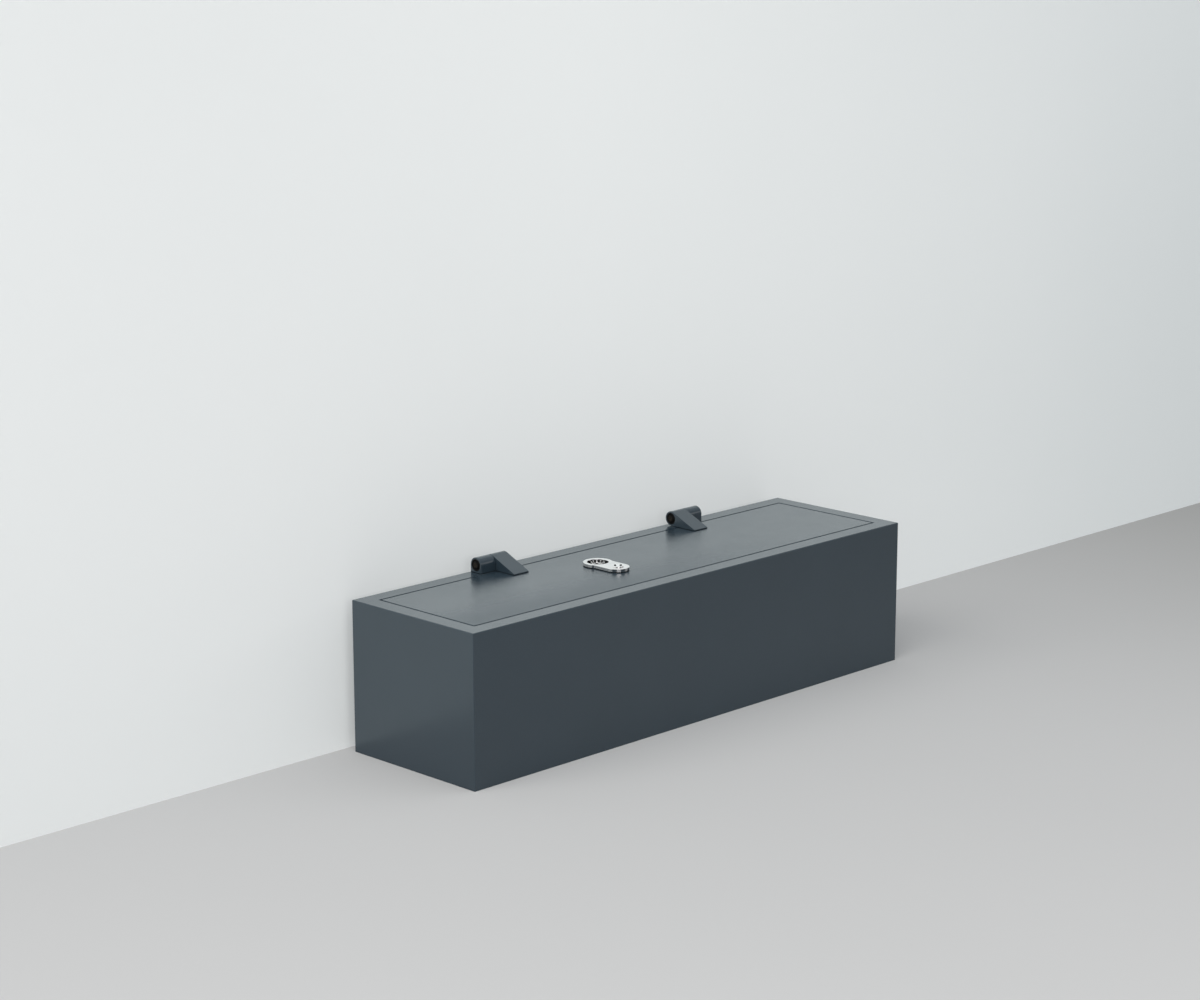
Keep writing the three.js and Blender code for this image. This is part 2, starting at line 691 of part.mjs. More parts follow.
// The rotor that the key turns, with its keyway, and the notched collar round its top
function makeRotor() {
  const shoulder = rackTop + slideGap;
  const core = turnedZ([[0, rackBottom], [spindleRadius, rackBottom], [spindleRadius, shoulder],
    [rotorRadius, shoulder], [rotorRadius, rotorTop], [0, rotorTop]], lockX, lockY);
  const keywayBottom = rotorTop - keywayDepth;
  const slot = block(lockX - keywayWidth / 2, lockX + keywayWidth / 2, lockY - keywayLength / 2,
    lockY + keywayLength / 2, keywayBottom, rotorTop + overcut);
  const shankHole = rodZ(keyShankRadius, keywayBottom, rotorTop + overcut, lockX, lockY);
  add(keyRotor, "key_rotor", cut(core, slot, shankHole), brightSteel);
  const inner = rotorRadius + collarSeatGap;
  const ring = turnedZ([[inner, bossTop + slideGap], [collarRadius, bossTop + slideGap],
    [collarRadius, collarTop], [inner, collarTop], [inner, bossTop + slideGap]], 0, 0);
  const notches = [];
  for (let notch = 0; notch < collarTeeth / 2; notch += 1) {
    const reach = collarRadius + overcut;
    const bar = block(-reach, reach, -collarNotch / 2, collarNotch / 2,
      collarTop - collarToothHeight, collarTop + overcut);
    notches.push(bar.rotateZ(notch * 2 * Math.PI / collarTeeth));
  }
  add(keyRotor, "rotor_collar", cut(ring, ...notches), brightSteel, [lockX, lockY, 0]);
}

// Outline of the lock plate: a round head and a narrower body with a round front end
function lockPlateShape(inset = 0) {
  const frontY = lockY - plateReach + plateBodyHalfWidth;
  const halfWidth = plateBodyHalfWidth - inset;
  const headRadius = plateHeadRadius - inset;
  const meet = Math.acos(halfWidth / headRadius);
  const shape = new THREE.Shape();
  shape.absarc(lockX, frontY, halfWidth, Math.PI, 2 * Math.PI);
  shape.absarc(lockX, lockY, headRadius, -meet, Math.PI + meet);
  shape.lineTo(lockX - halfWidth, frontY);
  shape.holes.push(roundHole(lockX, lockY, plateHoleRadius, roundSegments));
  shape.holes.push(roundHole(lockX, capY, capShankRadius + capGap));
  return shape;
}

// The lock plate on its thin seal, held down by a round cap with two holes for a pin key
function makeLockPlate() {
  const seal = lockPlateShape(sealInset);
  add(lid, "lock_plate", alongZ(lockPlateShape(), sealTop, plateTop, plateBevel, arcSegments), chrome);
  add(lid, "plate_seal", alongZ(seal, height, sealTop, 0, arcSegments), blackRubber);

  const nutBottom = plateBottom - capNutHeight;
  const shankBottom = nutBottom - screwEdge;
  const cap = turnedZ([[0, shankBottom], [capShankRadius, shankBottom], [capShankRadius, plateTop],
    [capRadius, plateTop], [capRadius, capTop - capEdge], [capRadius - capEdge, capTop], [0, capTop]], 0, 0);
  const holes = [-0.5, 0.5].map((half) => rodZ(capHoleRadius, capTop - capHoleDepth, capTop + overcut,
    half * capHoleSpacing * Math.cos(capTurn), half * capHoleSpacing * Math.sin(capTurn)));
  add(lid, "fixing_cap", cut(cap, ...holes), chrome, [lockX, capY, 0]);

  const bore = rodZ(capShankRadius + capGap, nutBottom - overcut, plateBottom + overcut, 0, 0);
  const nut = rodZ(capNutRadius, nutBottom, plateBottom, 0, 0, capNutSides);
  add(lid, "cap_nut", cut(nut, bore), zincSteel, [lockX, capY, 0]);
}

const caseLeft = lockX - caseHalfX;
const caseRight = lockX + caseHalfX;
const lockScrewPlaces = Object.entries({
  front_left: [caseLeft + caseLug / 2, caseFrontY + caseLug / 2],
  front_right: [caseRight - caseLug / 2, caseFrontY + caseLug / 2],
  rear_left: [caseLeft + caseLug / 2, caseRearY - caseLug / 2],
  rear_right: [caseRight - caseLug / 2, caseRearY - caseLug / 2],
});

// Lock case with the boss through the lid, the rotor bore, and the way for the rack
function makeLock() {
  const outline = rounded(caseLeft, caseRight, caseFrontY, caseRearY, caseCornerRadius);
  const body = alongZ(outline, caseBottom, plateBottom);
  const boss = turnedZ(rod(bossRadius, plateBottom - overcut, bossTop), lockX, lockY);
  const bore = turnedZ(rod(rotorRadius + slideGap, caseBottom - overcut, bossTop + overcut), lockX, lockY);
  const way = block(rackBackX - slideGap, lockX, caseFrontY - overcut, rackEndY + slideGap,
    caseBottom - overcut, rackTop + slideGap);
  const holes = lockScrewPlaces.map(([, [x, y]]) =>
    rodZ(screwHole, caseBottom - overcut, plateBottom + overcut, x, y));
  add(lid, "lock_case", cut(join(body, boss), bore, way, ...holes), castLock);
  const caseScrew = screw(0, 0, lockCoverBottom, plateBottom - lockCoverBottom, false);
  for (const [name, [x, y]] of lockScrewPlaces) {
    outline.holes.push(roundHole(x, y, screwHole));
    add(lid, `lock_screw_${name}`, caseScrew, zincSteel, [x, y, 0]);
  }
  add(lid, "lock_cover", alongZ(outline, lockCoverBottom, caseBottom), zincSteel);
}

function makeBoltCover() {
  const top = railBottom;
  const bottom = top - coverThickness;
  const halfX = railSideX - coverInset;
  const shape = rounded(-halfX, halfX, railFrontY + coverInset, railRearY - coverInset, coverCornerRadius);
  const coverScrew = screw(0, 0, bottom, coverScrewLength, false);
  for (const [nameY, y] of Object.entries(coverScrewRows)) {
    for (const [nameX, x] of Object.entries(coverScrewPlaces)) {
      shape.holes.push(roundHole(x, y, screwHole));
      add(lid, `cover_screw_${nameY}_${nameX}`, coverScrew, zincSteel, [x, y, 0]);
    }
  }
  add(lid, "bolt_cover", alongZ(shape, bottom, top), innerCoat);
}

makeWalls();
makeFloor();
makeFrame();
makeLedges();
makeHinges();
makeLidPlate();
makeRails();
makeFixedBolts();
makeGuideStuds();
makeLockPlate();
makeLock();
makeBoltCover();
makeBoltBar();
makeBolts();
makeRack();
makePinion();
makeRotor();

export default chest;
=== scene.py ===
"""Looks of a long, low steel security chest with a flush lid on external hinges and a key lock.

Every piece is built here in millimetres, in the CAD's own frame, and turned into metres at the end.
"""

import math

import bmesh
import bpy
from mathutils import Matrix, Vector
from mathutils.geometry import tessellate_polygon


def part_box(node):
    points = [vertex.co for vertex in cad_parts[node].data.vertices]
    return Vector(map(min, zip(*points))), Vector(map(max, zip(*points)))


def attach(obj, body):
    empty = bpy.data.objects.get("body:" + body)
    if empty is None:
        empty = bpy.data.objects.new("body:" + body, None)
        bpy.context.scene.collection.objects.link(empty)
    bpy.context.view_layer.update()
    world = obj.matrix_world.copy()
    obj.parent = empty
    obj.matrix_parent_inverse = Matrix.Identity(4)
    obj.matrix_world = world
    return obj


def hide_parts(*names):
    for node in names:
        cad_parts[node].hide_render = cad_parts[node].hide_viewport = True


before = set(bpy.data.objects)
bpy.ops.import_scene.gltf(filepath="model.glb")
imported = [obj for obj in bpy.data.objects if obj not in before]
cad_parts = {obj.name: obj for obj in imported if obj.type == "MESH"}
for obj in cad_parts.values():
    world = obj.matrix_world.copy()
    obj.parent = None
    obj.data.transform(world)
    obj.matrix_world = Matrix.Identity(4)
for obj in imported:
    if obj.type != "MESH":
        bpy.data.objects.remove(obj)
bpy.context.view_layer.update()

MM = 0.001

# Sizes of the chest, as in the part
HALF_LENGTH, HALF_DEPTH, HEIGHT = 500.0, 139.0, 247.0
WALL, FRAME_WIDTH, TOP_PLATE, EDGE = 3.0, 29.5, 4.0, 1.5
PLATE_BOTTOM = HEIGHT - TOP_PLATE
LID_HALF_X, LID_HALF_Y, LID_CORNER = 467.5, 106.5, 2.0
PIVOT_Y, PIVOT_Z, KNUCKLE_RADIUS = 124.5, 260.0, 12.5
STRAP_REACH, STRAP_TIP, KNUCKLE_LIFT = 56.0, 2.0, 0.5
PIN_RADIUS, PIN_CHAMFER, BORE_RADIUS, MOUTH_RADIUS, MOUTH_DEPTH = 7.0, 1.5, 7.3, 8.8, 1.5
# Pin face and land radii, and the height of the band of painted shade at a hinge leaf's foot
PIN_FACE, PIN_LAND, FOOT_SHADE_HEIGHT = 4.5, 10.0, 0.9
LOCK_X, LOCK_Y = -77.8, 19.9
BOLT_PLACES = ("left", "centre", "right")
SEAL_TOP, SEAL_INSET, PLATE_TOP = 248.4, 0.5, 253.4
HEAD_RADIUS, BODY_RADIUS, PLATE_REACH, PLATE_HOLE = 24.2, 20.5, 64.3, 17.5
CAP_Y, CAP_RADIUS, CAP_TOP, CAP_EDGE = LOCK_Y - 45.9, 9.0, PLATE_TOP + 1.8, 1.1
CAP_TURN, CAP_SPACING, CAP_HOLE, CAP_HOLE_DEPTH = math.radians(-41.6), 9.4, 1.9, 2.2
CAP_SINK, HOLE_ROUND = 0.2, 1.1
DOWEL_RADIUS, DOWEL_TOP = 1.8, PLATE_TOP + 3.0
CAP_BORE, CAP_SHANK, CAP_BOTTOM = 4.2, 4.0, PLATE_BOTTOM - 5.8
ROTOR_RADIUS, ROTOR_TOP, SPINDLE_RADIUS, ROTOR_SHOULDER = 9.5, PLATE_TOP - 3.6, 4.0, 228.8
BOSS_RADIUS, BOSS_TOP = 17.2, PLATE_TOP - 7.0
KEYWAY_WIDTH, KEYWAY_LENGTH, KEYWAY_DEPTH, KEY_SHANK = 5.0, 17.0, 15.5, 4.0
COLLAR_RADIUS, COLLAR_TOP, COLLAR_TOOTH = 11.75, PLATE_TOP - 0.5, 2.8
COLLAR_TEETH, COLLAR_NOTCH = 10, 3.7
RAIL_BOTTOM, RAIL_SHEET, RAIL_FLANGE, RAIL_BEND = 212.0, 3.0, 15.0, 2.0
BOLT_RADIUS, BOLT_AXIS, BOLT_HOLE, BOLT_SCREW_DEPTH = 9.0, 228.5, 9.4, 4.5
SCREW_HOLE, CASE_BORE, PLUG_RADIUS, CLEARANCE = 2.8, 9.8, 6.7, 0.3
PAST = 1.0  # how far a cutting tool runs past what it cuts
SHARP_ANGLE = math.radians(32)


# Geometry

def circle(x, y, radius, count):
    step = 2 * math.pi / count
    return [(x + radius * math.cos(k * step), y + radius * math.sin(k * step)) for k in range(count)]


def arc(x, y, radius, start, end, count):
    return [(x + radius * math.cos(start + (end - start) * k / count),
             y + radius * math.sin(start + (end - start) * k / count)) for k in range(count + 1)]


def rounded_box(x0, x1, y0, y1, radius, count=6):
    q = math.pi / 2
    return (arc(x1 - radius, y0 + radius, radius, -q, 0, count)
            + arc(x1 - radius, y1 - radius, radius, 0, q, count)
            + arc(x0 + radius, y1 - radius, radius, q, 2 * q, count)
            + arc(x0 + radius, y0 + radius, radius, 2 * q, 3 * q, count))


def soften(points, radius, count=4, closed=True):
    """Rounds the corners of a polygon; radius is one number, or one for each corner."""
    result = []
    total = len(points)
    for i, point in enumerate(points):
        wanted = radius[i] if isinstance(radius, (list, tuple)) else radius
        if wanted <= 0 or (not closed and i in (0, total - 1)):
            result.append(tuple(point))
            continue
        corner = Vector(point)
        before = Vector(points[i - 1]) - corner
        after = Vector(points[(i + 1) % total]) - corner
        half = before.angle(after) / 2
        if half > math.radians(88):
            result.append(tuple(point))
            continue
        run = min(wanted / math.tan(half), 0.48 * before.length, 0.48 * after.length)
        real = run * math.tan(half)
        centre = corner + (before.normalized() + after.normalized()).normalized() * (real / math.sin(half))
        first = corner + before.normalized() * run - centre
        last = corner + after.normalized() * run - centre
        for k in range(count + 1):
            mixed = first.lerp(last, k / count)
            result.append(tuple(centre + mixed.normalized() * real))
    return result


def area(outline):
    return sum(a[0] * b[1] - b[0] * a[1] for a, b in zip(outline, outline[1:] + outline[:1])) / 2


def inset(outline, amount):
    """Moves each side of a counter-clockwise outline inwards."""
    result = []
    total = len(outline)
    for i in range(total):
        here = Vector(outline[i])
        into = here - Vector(outline[i - 1])
        out = Vector(outline[(i + 1) % total]) - here
        n1 = Vector((-into.y, into.x)).normalized()
        n2 = Vector((-out.y, out.x)).normalized()
        middle = (n1 + n2).normalized()
        result.append(tuple(here + middle * (amount / max(0.3, middle.dot(n1)))))
    return result


class Solid:
    """Rings of points joined into a closed skin."""

    def __init__(self):
        self.points = []
        self.faces = []

    def ring(self, points):
        start = len(self.points)
        self.points.extend(tuple(p) for p in points)
        return list(range(start, start + len(points)))

    def wall(self, rings):
        for low, high in zip(rings, rings[1:]):
            for i in range(len(low)):
                j = (i + 1) % len(low)
                self.faces.append((low[i], low[j], high[j], high[i]))

    def cap(self, outer, holes=()):
        if not holes:
            self.faces.append(tuple(outer))
            return
        loops = [outer, *holes]
        flat = [index for loop in loops for index in loop]
        corners = tessellate_polygon([[Vector(self.points[i]) for i in loop] for loop in loops])
        self.faces.extend(tuple(flat[k] for k in corner) for corner in corners)


PLACE = {
    "Z": lambda u, v, w: (u, v, w),
    "X": lambda u, v, w: (w, u, v),
    "Y": lambda u, v, w: (u, w, v),
}


def edge_steps(low, high, bevel_low, bevel_high, steps=3):
    """Pairs of how far in and how high, for a wall with rounded edges."""
    pairs = []
    for k in range(steps + 1 if bevel_low else 1):
        t = math.pi / 2 * k / steps if bevel_low else math.pi / 2
        pairs.append((bevel_low * (1 - math.sin(t)), low + bevel_low * (1 - math.cos(t))))
    for k in range(steps + 1 if bevel_high else 1):
        t = math.pi / 2 * k / steps if bevel_high else 0
        pairs.append((bevel_high * (1 - math.cos(t)), high - bevel_high * (1 - math.sin(t))))
    return pairs


def prism(outline, low, high, axis, bevel, holes=(), steps=3):
    """An extrusion with rounded edges.

    Each hole is an outline, or (outline, bevel low, bevel high, land low, land high), where a land is a flat
    ring round the hole's mouth that can take another finish.
    """
    solid = Solid()
    place = PLACE[axis]
    if area(outline) < 0:
        outline = outline[::-1]
    rings = [solid.ring([place(u, v, w) for u, v in inset(outline, deep)])
             for deep, w in edge_steps(low, high, bevel, bevel, steps)]
    solid.wall(rings)
    ends = []
    for hole in holes:
        shape, mouth_low, mouth_high, *lands = hole if isinstance(hole[0], list) else (hole, 0.2, 0.2)
        if area(shape) < 0:
            shape = shape[::-1]
        pairs = edge_steps(low, high, mouth_low, mouth_high, steps)
        if lands and lands[0]:
            pairs.insert(0, (mouth_low + lands[0], low))
        if lands and lands[1]:
            pairs.append((mouth_high + lands[1], high))
        hole_rings = [solid.ring([place(u, v, w) for u, v in inset(shape, -deep)]) for deep, w in pairs]
        solid.wall(hole_rings)
        ends.append(hole_rings)
    solid.cap(rings[0], [e[0] for e in ends])
    solid.cap(rings[-1], [e[-1] for e in ends])
    return solid


def turned(profile, axis, centre, count, closed=False):
    """A turned piece. The profile is (radius, place) pairs; closed joins its end to its start."""
    solid = Solid()
    place = PLACE[axis]
    rings = []
    for radius, w in profile:
        if radius > 1e-6:
            rings.append(solid.ring([place(u, v, w) for u, v in circle(*centre, radius, count)]))
    solid.wall(rings)
    if closed:
        solid.wall([rings[-1], rings[0]])
    else:
        solid.cap(rings[0])
        solid.cap(rings[-1])
    return solid


def mesh_object(name, solid):
    mesh = bpy.data.meshes.new(name)
    mesh.from_pydata([[c * MM for c in p] for p in solid.points], [], solid.faces)
    work = bmesh.new()
    work.from_mesh(mesh)
    bmesh.ops.remove_doubles(work, verts=work.verts, dist=1e-7)
    bmesh.ops.dissolve_degenerate(work, dist=1e-7, edges=work.edges)
    bmesh.ops.recalc_face_normals(work, faces=work.faces)
    work.to_mesh(mesh)
    work.free()
    obj = bpy.data.objects.new(name, mesh)
    bpy.context.scene.collection.objects.link(obj)
    return obj


def bake(obj):
    """Applies the object's modifiers to its mesh."""
    bpy.context.view_layer.update()
    graph = bpy.context.evaluated_depsgraph_get()
    mesh = bpy.data.meshes.new_from_object(obj.evaluated_get(graph))
    obj.modifiers.clear()
    obj.data = mesh


def boolean(obj, tools, operation="DIFFERENCE"):
    for tool in tools:
        change = obj.modifiers.new("cut", "BOOLEAN")
        change.operation = operation
        change.solver = "EXACT"
        change.object = tool
    bake(obj)
    for tool in tools:
        bpy.data.objects.remove(tool)


def drill(radius, low, high, axis, centre, count):
    """A round tool for a boolean."""
    return mesh_object("tool", turned([(radius, low), (radius, high)], axis, centre, count))


def edge_round(obj, width, angle):
    """Rounds the sharp edges that a boolean leaves."""
    change = obj.modifiers.new("edge", "BEVEL")
    change.width = width * MM
    change.segments = 2
    change.limit_method = "ANGLE"
    change.angle_limit = math.radians(angle)
    change.use_clamp_overlap = True
    bake(obj)


def split_at(obj, z):
    """Cuts the faces along a level, so that a second finish ends there."""
    work = bmesh.new()
    work.from_mesh(obj.data)
    geometry = [*work.verts, *work.edges, *work.faces]
    bmesh.ops.bisect_plane(work, geom=geometry, plane_co=(0, 0, z * MM), plane_no=(0, 0, 1), dist=1e-7)
    work.to_mesh(obj.data)
    work.free()


def finish_piece(obj, body, finish, nodes=(), second=None):
    """Shades, paints and files a piece under its body, material slot and CAD nodes.

    second is another finish and a test of a face's centre, in millimetres, that says where it goes.
    """
    faces = obj.data.polygons
    obj.data.materials.clear()
    obj.data.materials.append(finish)
    faces.foreach_set("use_smooth", [True] * len(faces))
    faces.foreach_set("material_index", [0] * len(faces))
    if second:
        other, applies = second
        obj.data.materials.append(other)
        for face in faces:
            if applies(face.center / MM):
                face.material_index = 1
    obj.data.set_sharp_from_angle(angle=SHARP_ANGLE)
    even = obj.modifiers.new("normals", "WEIGHTED_NORMAL")
    even.keep_sharp = True
    even.weight = 100
    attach(obj, body)
    if nodes:
        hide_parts(*nodes)


# Materials

def set_range(node, *numbers):
    """Sets what a Map Range node reads, from and to, and then what it gives."""
    for key, number in zip(("From Min", "From Max", "To Min", "To Max"), numbers):
        node.inputs[key].default_value = number
    return node.outputs["Result"]


class Nodes:
    """A material's node tree, with short calls for the nodes used here."""

    def __init__(self, name):
        self.material = bpy.data.materials.new(name)
        self.material.use_nodes = True
        self.tree = self.material.node_tree
        self.shader = self.tree.nodes["Principled BSDF"]
        self.coords = self.tree.nodes.new("ShaderNodeTexCoord").outputs["Object"]

    def set(self, **values):
        for key, value in values.items():
            self.shader.inputs[key.replace("_", " ")].default_value = value
        return self

    def node(self, kind, **options):
        made = self.tree.nodes.new("ShaderNode" + kind)
        for key, value in options.items():
            setattr(made, key, value)
        return made

    def link(self, source, target):
        self.tree.links.new(source, target)

    def stretched(self, x, y, z):
        made = self.node("Mapping")
        self.link(self.coords, made.inputs["Vector"])
        made.inputs["Scale"].default_value = (x, y, z)
        return made.outputs["Vector"]

    def noise(self, scale, detail, rough=0.5, coords=None):
        made = self.node("TexNoise")
        self.link(coords or self.coords, made.inputs["Vector"])
        made.inputs["Scale"].default_value = scale
        made.inputs["Detail"].default_value = detail
        made.inputs["Roughness"].default_value = rough
        return made.outputs["Fac"]

    def patches(self, scale, detail, rough=0.5, low=0.3):
        """Noise from 0 to 1, with harder edges the nearer low is to a half."""
        return self.span(self.noise(scale, detail, rough), low, 1 - low, 0.0, 1.0)

    def cells(self, scale, smooth):
        made = self.node("TexVoronoi", feature="SMOOTH_F1")
        self.link(self.coords, made.inputs["Vector"])
        made.inputs["Scale"].default_value = scale
        made.inputs["Smoothness"].default_value = smooth
        return made.outputs["Distance"]

    def span(self, value, low, high, to_low, to_high):
        made = self.node("MapRange")
        self.link(value, made.inputs["Value"])
        return set_range(made, low, high, to_low, to_high)

    def along(self, axis, start, stop, at_start, at_stop):
        """A number that runs smoothly from one value to another along an axis, in metres."""
        place = self.node("SeparateXYZ")
        self.link(self.coords, place.inputs[0])
        made = self.node("MapRange", interpolation_type="SMOOTHSTEP")
        self.link(place.outputs[axis], made.inputs["Value"])
        return set_range(made, start, stop, at_start, at_stop)

    def maths(self, operation, *values):
        made = self.node("Math", operation=operation)
        for socket, value in zip(made.inputs, values):
            if isinstance(value, (int, float)):
                socket.default_value = value
            else:
                self.link(value, socket)
        return made.outputs[0]

    def blend(self, factor, first, second, mode="MIX"):
        made = self.node("Mix", data_type="RGBA", blend_type=mode)
        for key, value in (("Factor_Float", factor), ("A_Color", first), ("B_Color", second)):
            socket = next(s for s in made.inputs if s.identifier == key)
            if isinstance(value, (int, float, tuple)):
                socket.default_value = value if not isinstance(value, tuple) else (*value, 1.0)
            else:
                self.link(value, socket)
        return next(s for s in made.outputs if s.identifier == "Result_Color")

    def colour(self, value):
        self.link(value, self.shader.inputs["Base Color"])
        return self

    def roughness(self, value):
        self.link(value, self.shader.inputs["Roughness"])
        return self

    def bump(self, *layers):
        """Each layer is (height, depth in millimetres)."""
        normal = None
        for height, depth in layers:
            made = self.node("Bump")
            made.inputs["Strength"].default_value = 1.0
            made.inputs["Distance"].default_value = depth * MM
            self.link(height, made.inputs["Height"])
            if normal:
                self.link(normal, made.inputs["Normal"])
            normal = made.outputs["Normal"]
        self.link(normal, self.shader.inputs["Normal"])
        return self


def powder(name, dark, light, rough, peel=0.05, grain=230, dulled=0.0):
    """Powder coat: slow colour drift, fine speckle, and orange peel with so many grains to the metre.

    It can be dulled by hands towards the front and left, where a lid is taken hold of.
    """
    n = Nodes(name)
    speckle = n.patches(1500, 1)
    base = n.blend(n.patches(6, 2), dark, light)
    n.colour(n.blend(n.maths("MULTIPLY", speckle, 0.2), base, tuple(c * 1.5 for c in light)))
    level = n.maths("ADD", n.span(n.noise(30, 3), 0.3, 0.7, rough - 0.01, rough + 0.02),
                    n.span(speckle, 0, 1, -0.02, 0.02))
    if dulled:
        level = n.maths("ADD", level, n.maths("MULTIPLY", n.along("Y", -0.1, 0.03, dulled, 0.0),
                                              n.along("X", -0.3, 0.5, 1.0, 0.0)))
    n.roughness(level)
    n.bump((n.cells(grain, 0.8), peel), (n.noise(1000, 2), peel * 0.2))
    return n.material


def plated(name, base, tint, rough, scratch):
    """Bright or zinc plated steel with a faint stain and fine handling marks."""
    n = Nodes(name).set(Metallic=1.0)
    n.colour(n.blend(n.patches(70, 4, 0.6, 0.35), base, tint))
    marks = n.noise(900, 3, 0.6, n.stretched(1.0, 0.12, 1.0))
    n.roughness(n.span(marks, 0.3, 0.7, rough - 0.05, rough + 0.07))
    n.bump((marks, scratch))
    return n.material


def lathe_marks(name, base, tint, rough, centre, axis, pitch, depth):
    """Steel turned in a lathe: rings about an axis that runs along X or Z."""
    n = Nodes(name).set(Metallic=1.0)
    flat = (0.0, 1.0, 1.0) if axis == "X" else (1.0, 1.0, 0.0)
    shift = n.node("VectorMath", operation="SUBTRACT")
    n.link(n.coords, shift.inputs[0])
    shift.inputs[1].default_value = centre
    squash = n.node("VectorMath", operation="MULTIPLY")
    n.link(shift.outputs[0], squash.inputs[0])
    squash.inputs[1].default_value = flat
    length = n.node("VectorMath", operation="LENGTH")
    n.link(squash.outputs[0], length.inputs[0])
    waves = n.maths("SINE", n.maths("MULTIPLY", length.outputs["Value"], 2 * math.pi / (pitch * MM)))
    n.colour(n.blend(n.patches(260, 4, 0.6, 0.35), base, tint))
    n.roughness(n.span(n.noise(500, 3), 0.3, 0.7, rough - 0.05, rough + 0.08))
    n.bump((n.span(waves, -1, 1, 0, 1), depth), (n.noise(1400, 2), depth))
    return n.material


def rough_cast(name, base, tint, rough, depth, scale, specular=0.5):
    """Cast or moulded stuff: mottled colour and a pebbled skin."""
    n = Nodes(name).set(Specular_IOR_Level=specular)
    n.colour(n.blend(n.patches(scale * 0.2, 4, 0.6, 0.35), base, tint))
    n.roughness(n.span(n.noise(scale, 3), 0.3, 0.7, rough - 0.06, rough + 0.06))
    n.bump((n.cells(scale, 0.5), depth), (n.noise(scale * 3, 2), depth * 0.4))
    return n.material


COAT = powder("coat", (0.0265, 0.0415, 0.054), (0.029, 0.045, 0.0585), 0.22, 0.04)
LID_COAT = powder("lid_coat", (0.0265, 0.0415, 0.054), (0.029, 0.045, 0.0585), 0.2, 0.2, 420, 0.15)
INNER = powder("inner_coat", (0.028, 0.040, 0.050), (0.032, 0.045, 0.056), 0.42, 0.03)
CHROME = plated("chrome", (0.77, 0.745, 0.735), (0.72, 0.70, 0.695), 0.08, 0.0004)
SATIN = plated("satin_chrome", (0.90, 0.88, 0.87), (0.86, 0.84, 0.83), 0.3, 0.001)
ZINC = plated("zinc", (0.52, 0.54, 0.55), (0.44, 0.46, 0.49), 0.34, 0.004)
PIN = lathe_marks("bare_pin", (0.033, 0.026, 0.020), (0.016, 0.013, 0.011), 0.42,
                  (0.0, PIVOT_Y * MM, PIVOT_Z * MM), "X", 0.9, 0.01)
BRIGHT = lathe_marks("bright_steel", (0.76, 0.745, 0.735), (0.66, 0.65, 0.645), 0.14,
                     (LOCK_X * MM, LOCK_Y * MM, 0.0), "Z", 0.5, 0.002)
CAST = rough_cast("cast_lock", (0.010, 0.011, 0.012), (0.016, 0.017, 0.018), 0.62, 0.03, 900)
# Near-black oiled steel; the same material is also used as painted shade in bores, holes, the keyway, notches
# and at joints
OILED_AND_SHADE = rough_cast("oiled_steel_and_shade", (0.004, 0.004, 0.004), (0.007, 0.0065, 0.006), 0.8, 0.02, 1300, 0.15)
RUBBER = rough_cast("rubber", (0.0075, 0.008, 0.008), (0.012, 0.0125, 0.013), 0.8, 0.1, 420, 0.3)


# The chest's shell

def make_shell():
    """Walls and top frame in one welded and coated skin; the floor plate sits inside it."""
    profile = soften([(0, 0), (0, HEIGHT), (FRAME_WIDTH, HEIGHT), (FRAME_WIDTH, PLATE_BOTTOM),
                      (WALL, PLATE_BOTTOM), (WALL, 0)], [0.5, EDGE, 0.5, 0.4, 0.8, 0], 5)
    solid = Solid()
    rings = []
    for deep, w in profile:
        radius = max(EDGE - deep, 0.5)
        outline = rounded_box(-HALF_LENGTH + deep, HALF_LENGTH - deep, -HALF_DEPTH + deep, HALF_DEPTH - deep,
                              radius, 5)
        rings.append(solid.ring([(x, y, w) for x, y in outline]))
    solid.wall(rings + rings[:1])
    finish_piece(mesh_object("body_shell", solid), "chest", COAT,
                 ["front_wall", "rear_wall", "end_wall_left", "end_wall_right",
                  "frame_front", "frame_rear", "frame_left", "frame_right"])


def box_mm(node):
    low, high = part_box(node)
    return [c / MM for c in low], [c / MM for c in high]


def middle_mm(node):
    low, high = box_mm(node)
    return [(a + b) / 2 for a, b in zip(low, high)]


def make_ledges():
    """Flat bars with soft edges, each drawn along its length."""
    for node in ("ledge_front", "ledge_left", "ledge_right"):
        (x0, y0, z0), (x1, y1, z1) = box_mm(node)
        if x1 - x0 > y1 - y0:
            bar = prism([(y0, z0), (y1, z0), (y1, z1), (y0, z1)], x0, x1, "X", 0.5, steps=2)
        else:
            bar = prism([(x0, z0), (x1, z0), (x1, z1), (x0, z1)], y0, y1, "Y", 0.5, steps=2)
        finish_piece(mesh_object(node + "_bar", bar), "chest", INNER, [node])


def make_plugs():
    for node in [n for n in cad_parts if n.startswith("anchor_plug")]:
        (x0, _, z0), (x1, _, z1) = box_mm(node)
        head = (x1 - x0) / 2
        profile = soften([(0, z0), (PLUG_RADIUS, z0), (PLUG_RADIUS, WALL), (head, WALL), (head - 0.5, z1),
                          (0, z1)], [0, 0.6, 0.1, 0.3, 0.6, 0], 3, closed=False)
        finish_piece(mesh_object(node + "_bung", turned(profile, "Z", middle_mm(node)[:2], 40)),
                     "chest", RUBBER, [node])


# Hinges

def from_pin_axis(centre):
    return math.hypot(centre.y - PIVOT_Y, centre.z - PIVOT_Z)


def on_pin_side(centre):
    return from_pin_axis(centre) > PIN_FACE


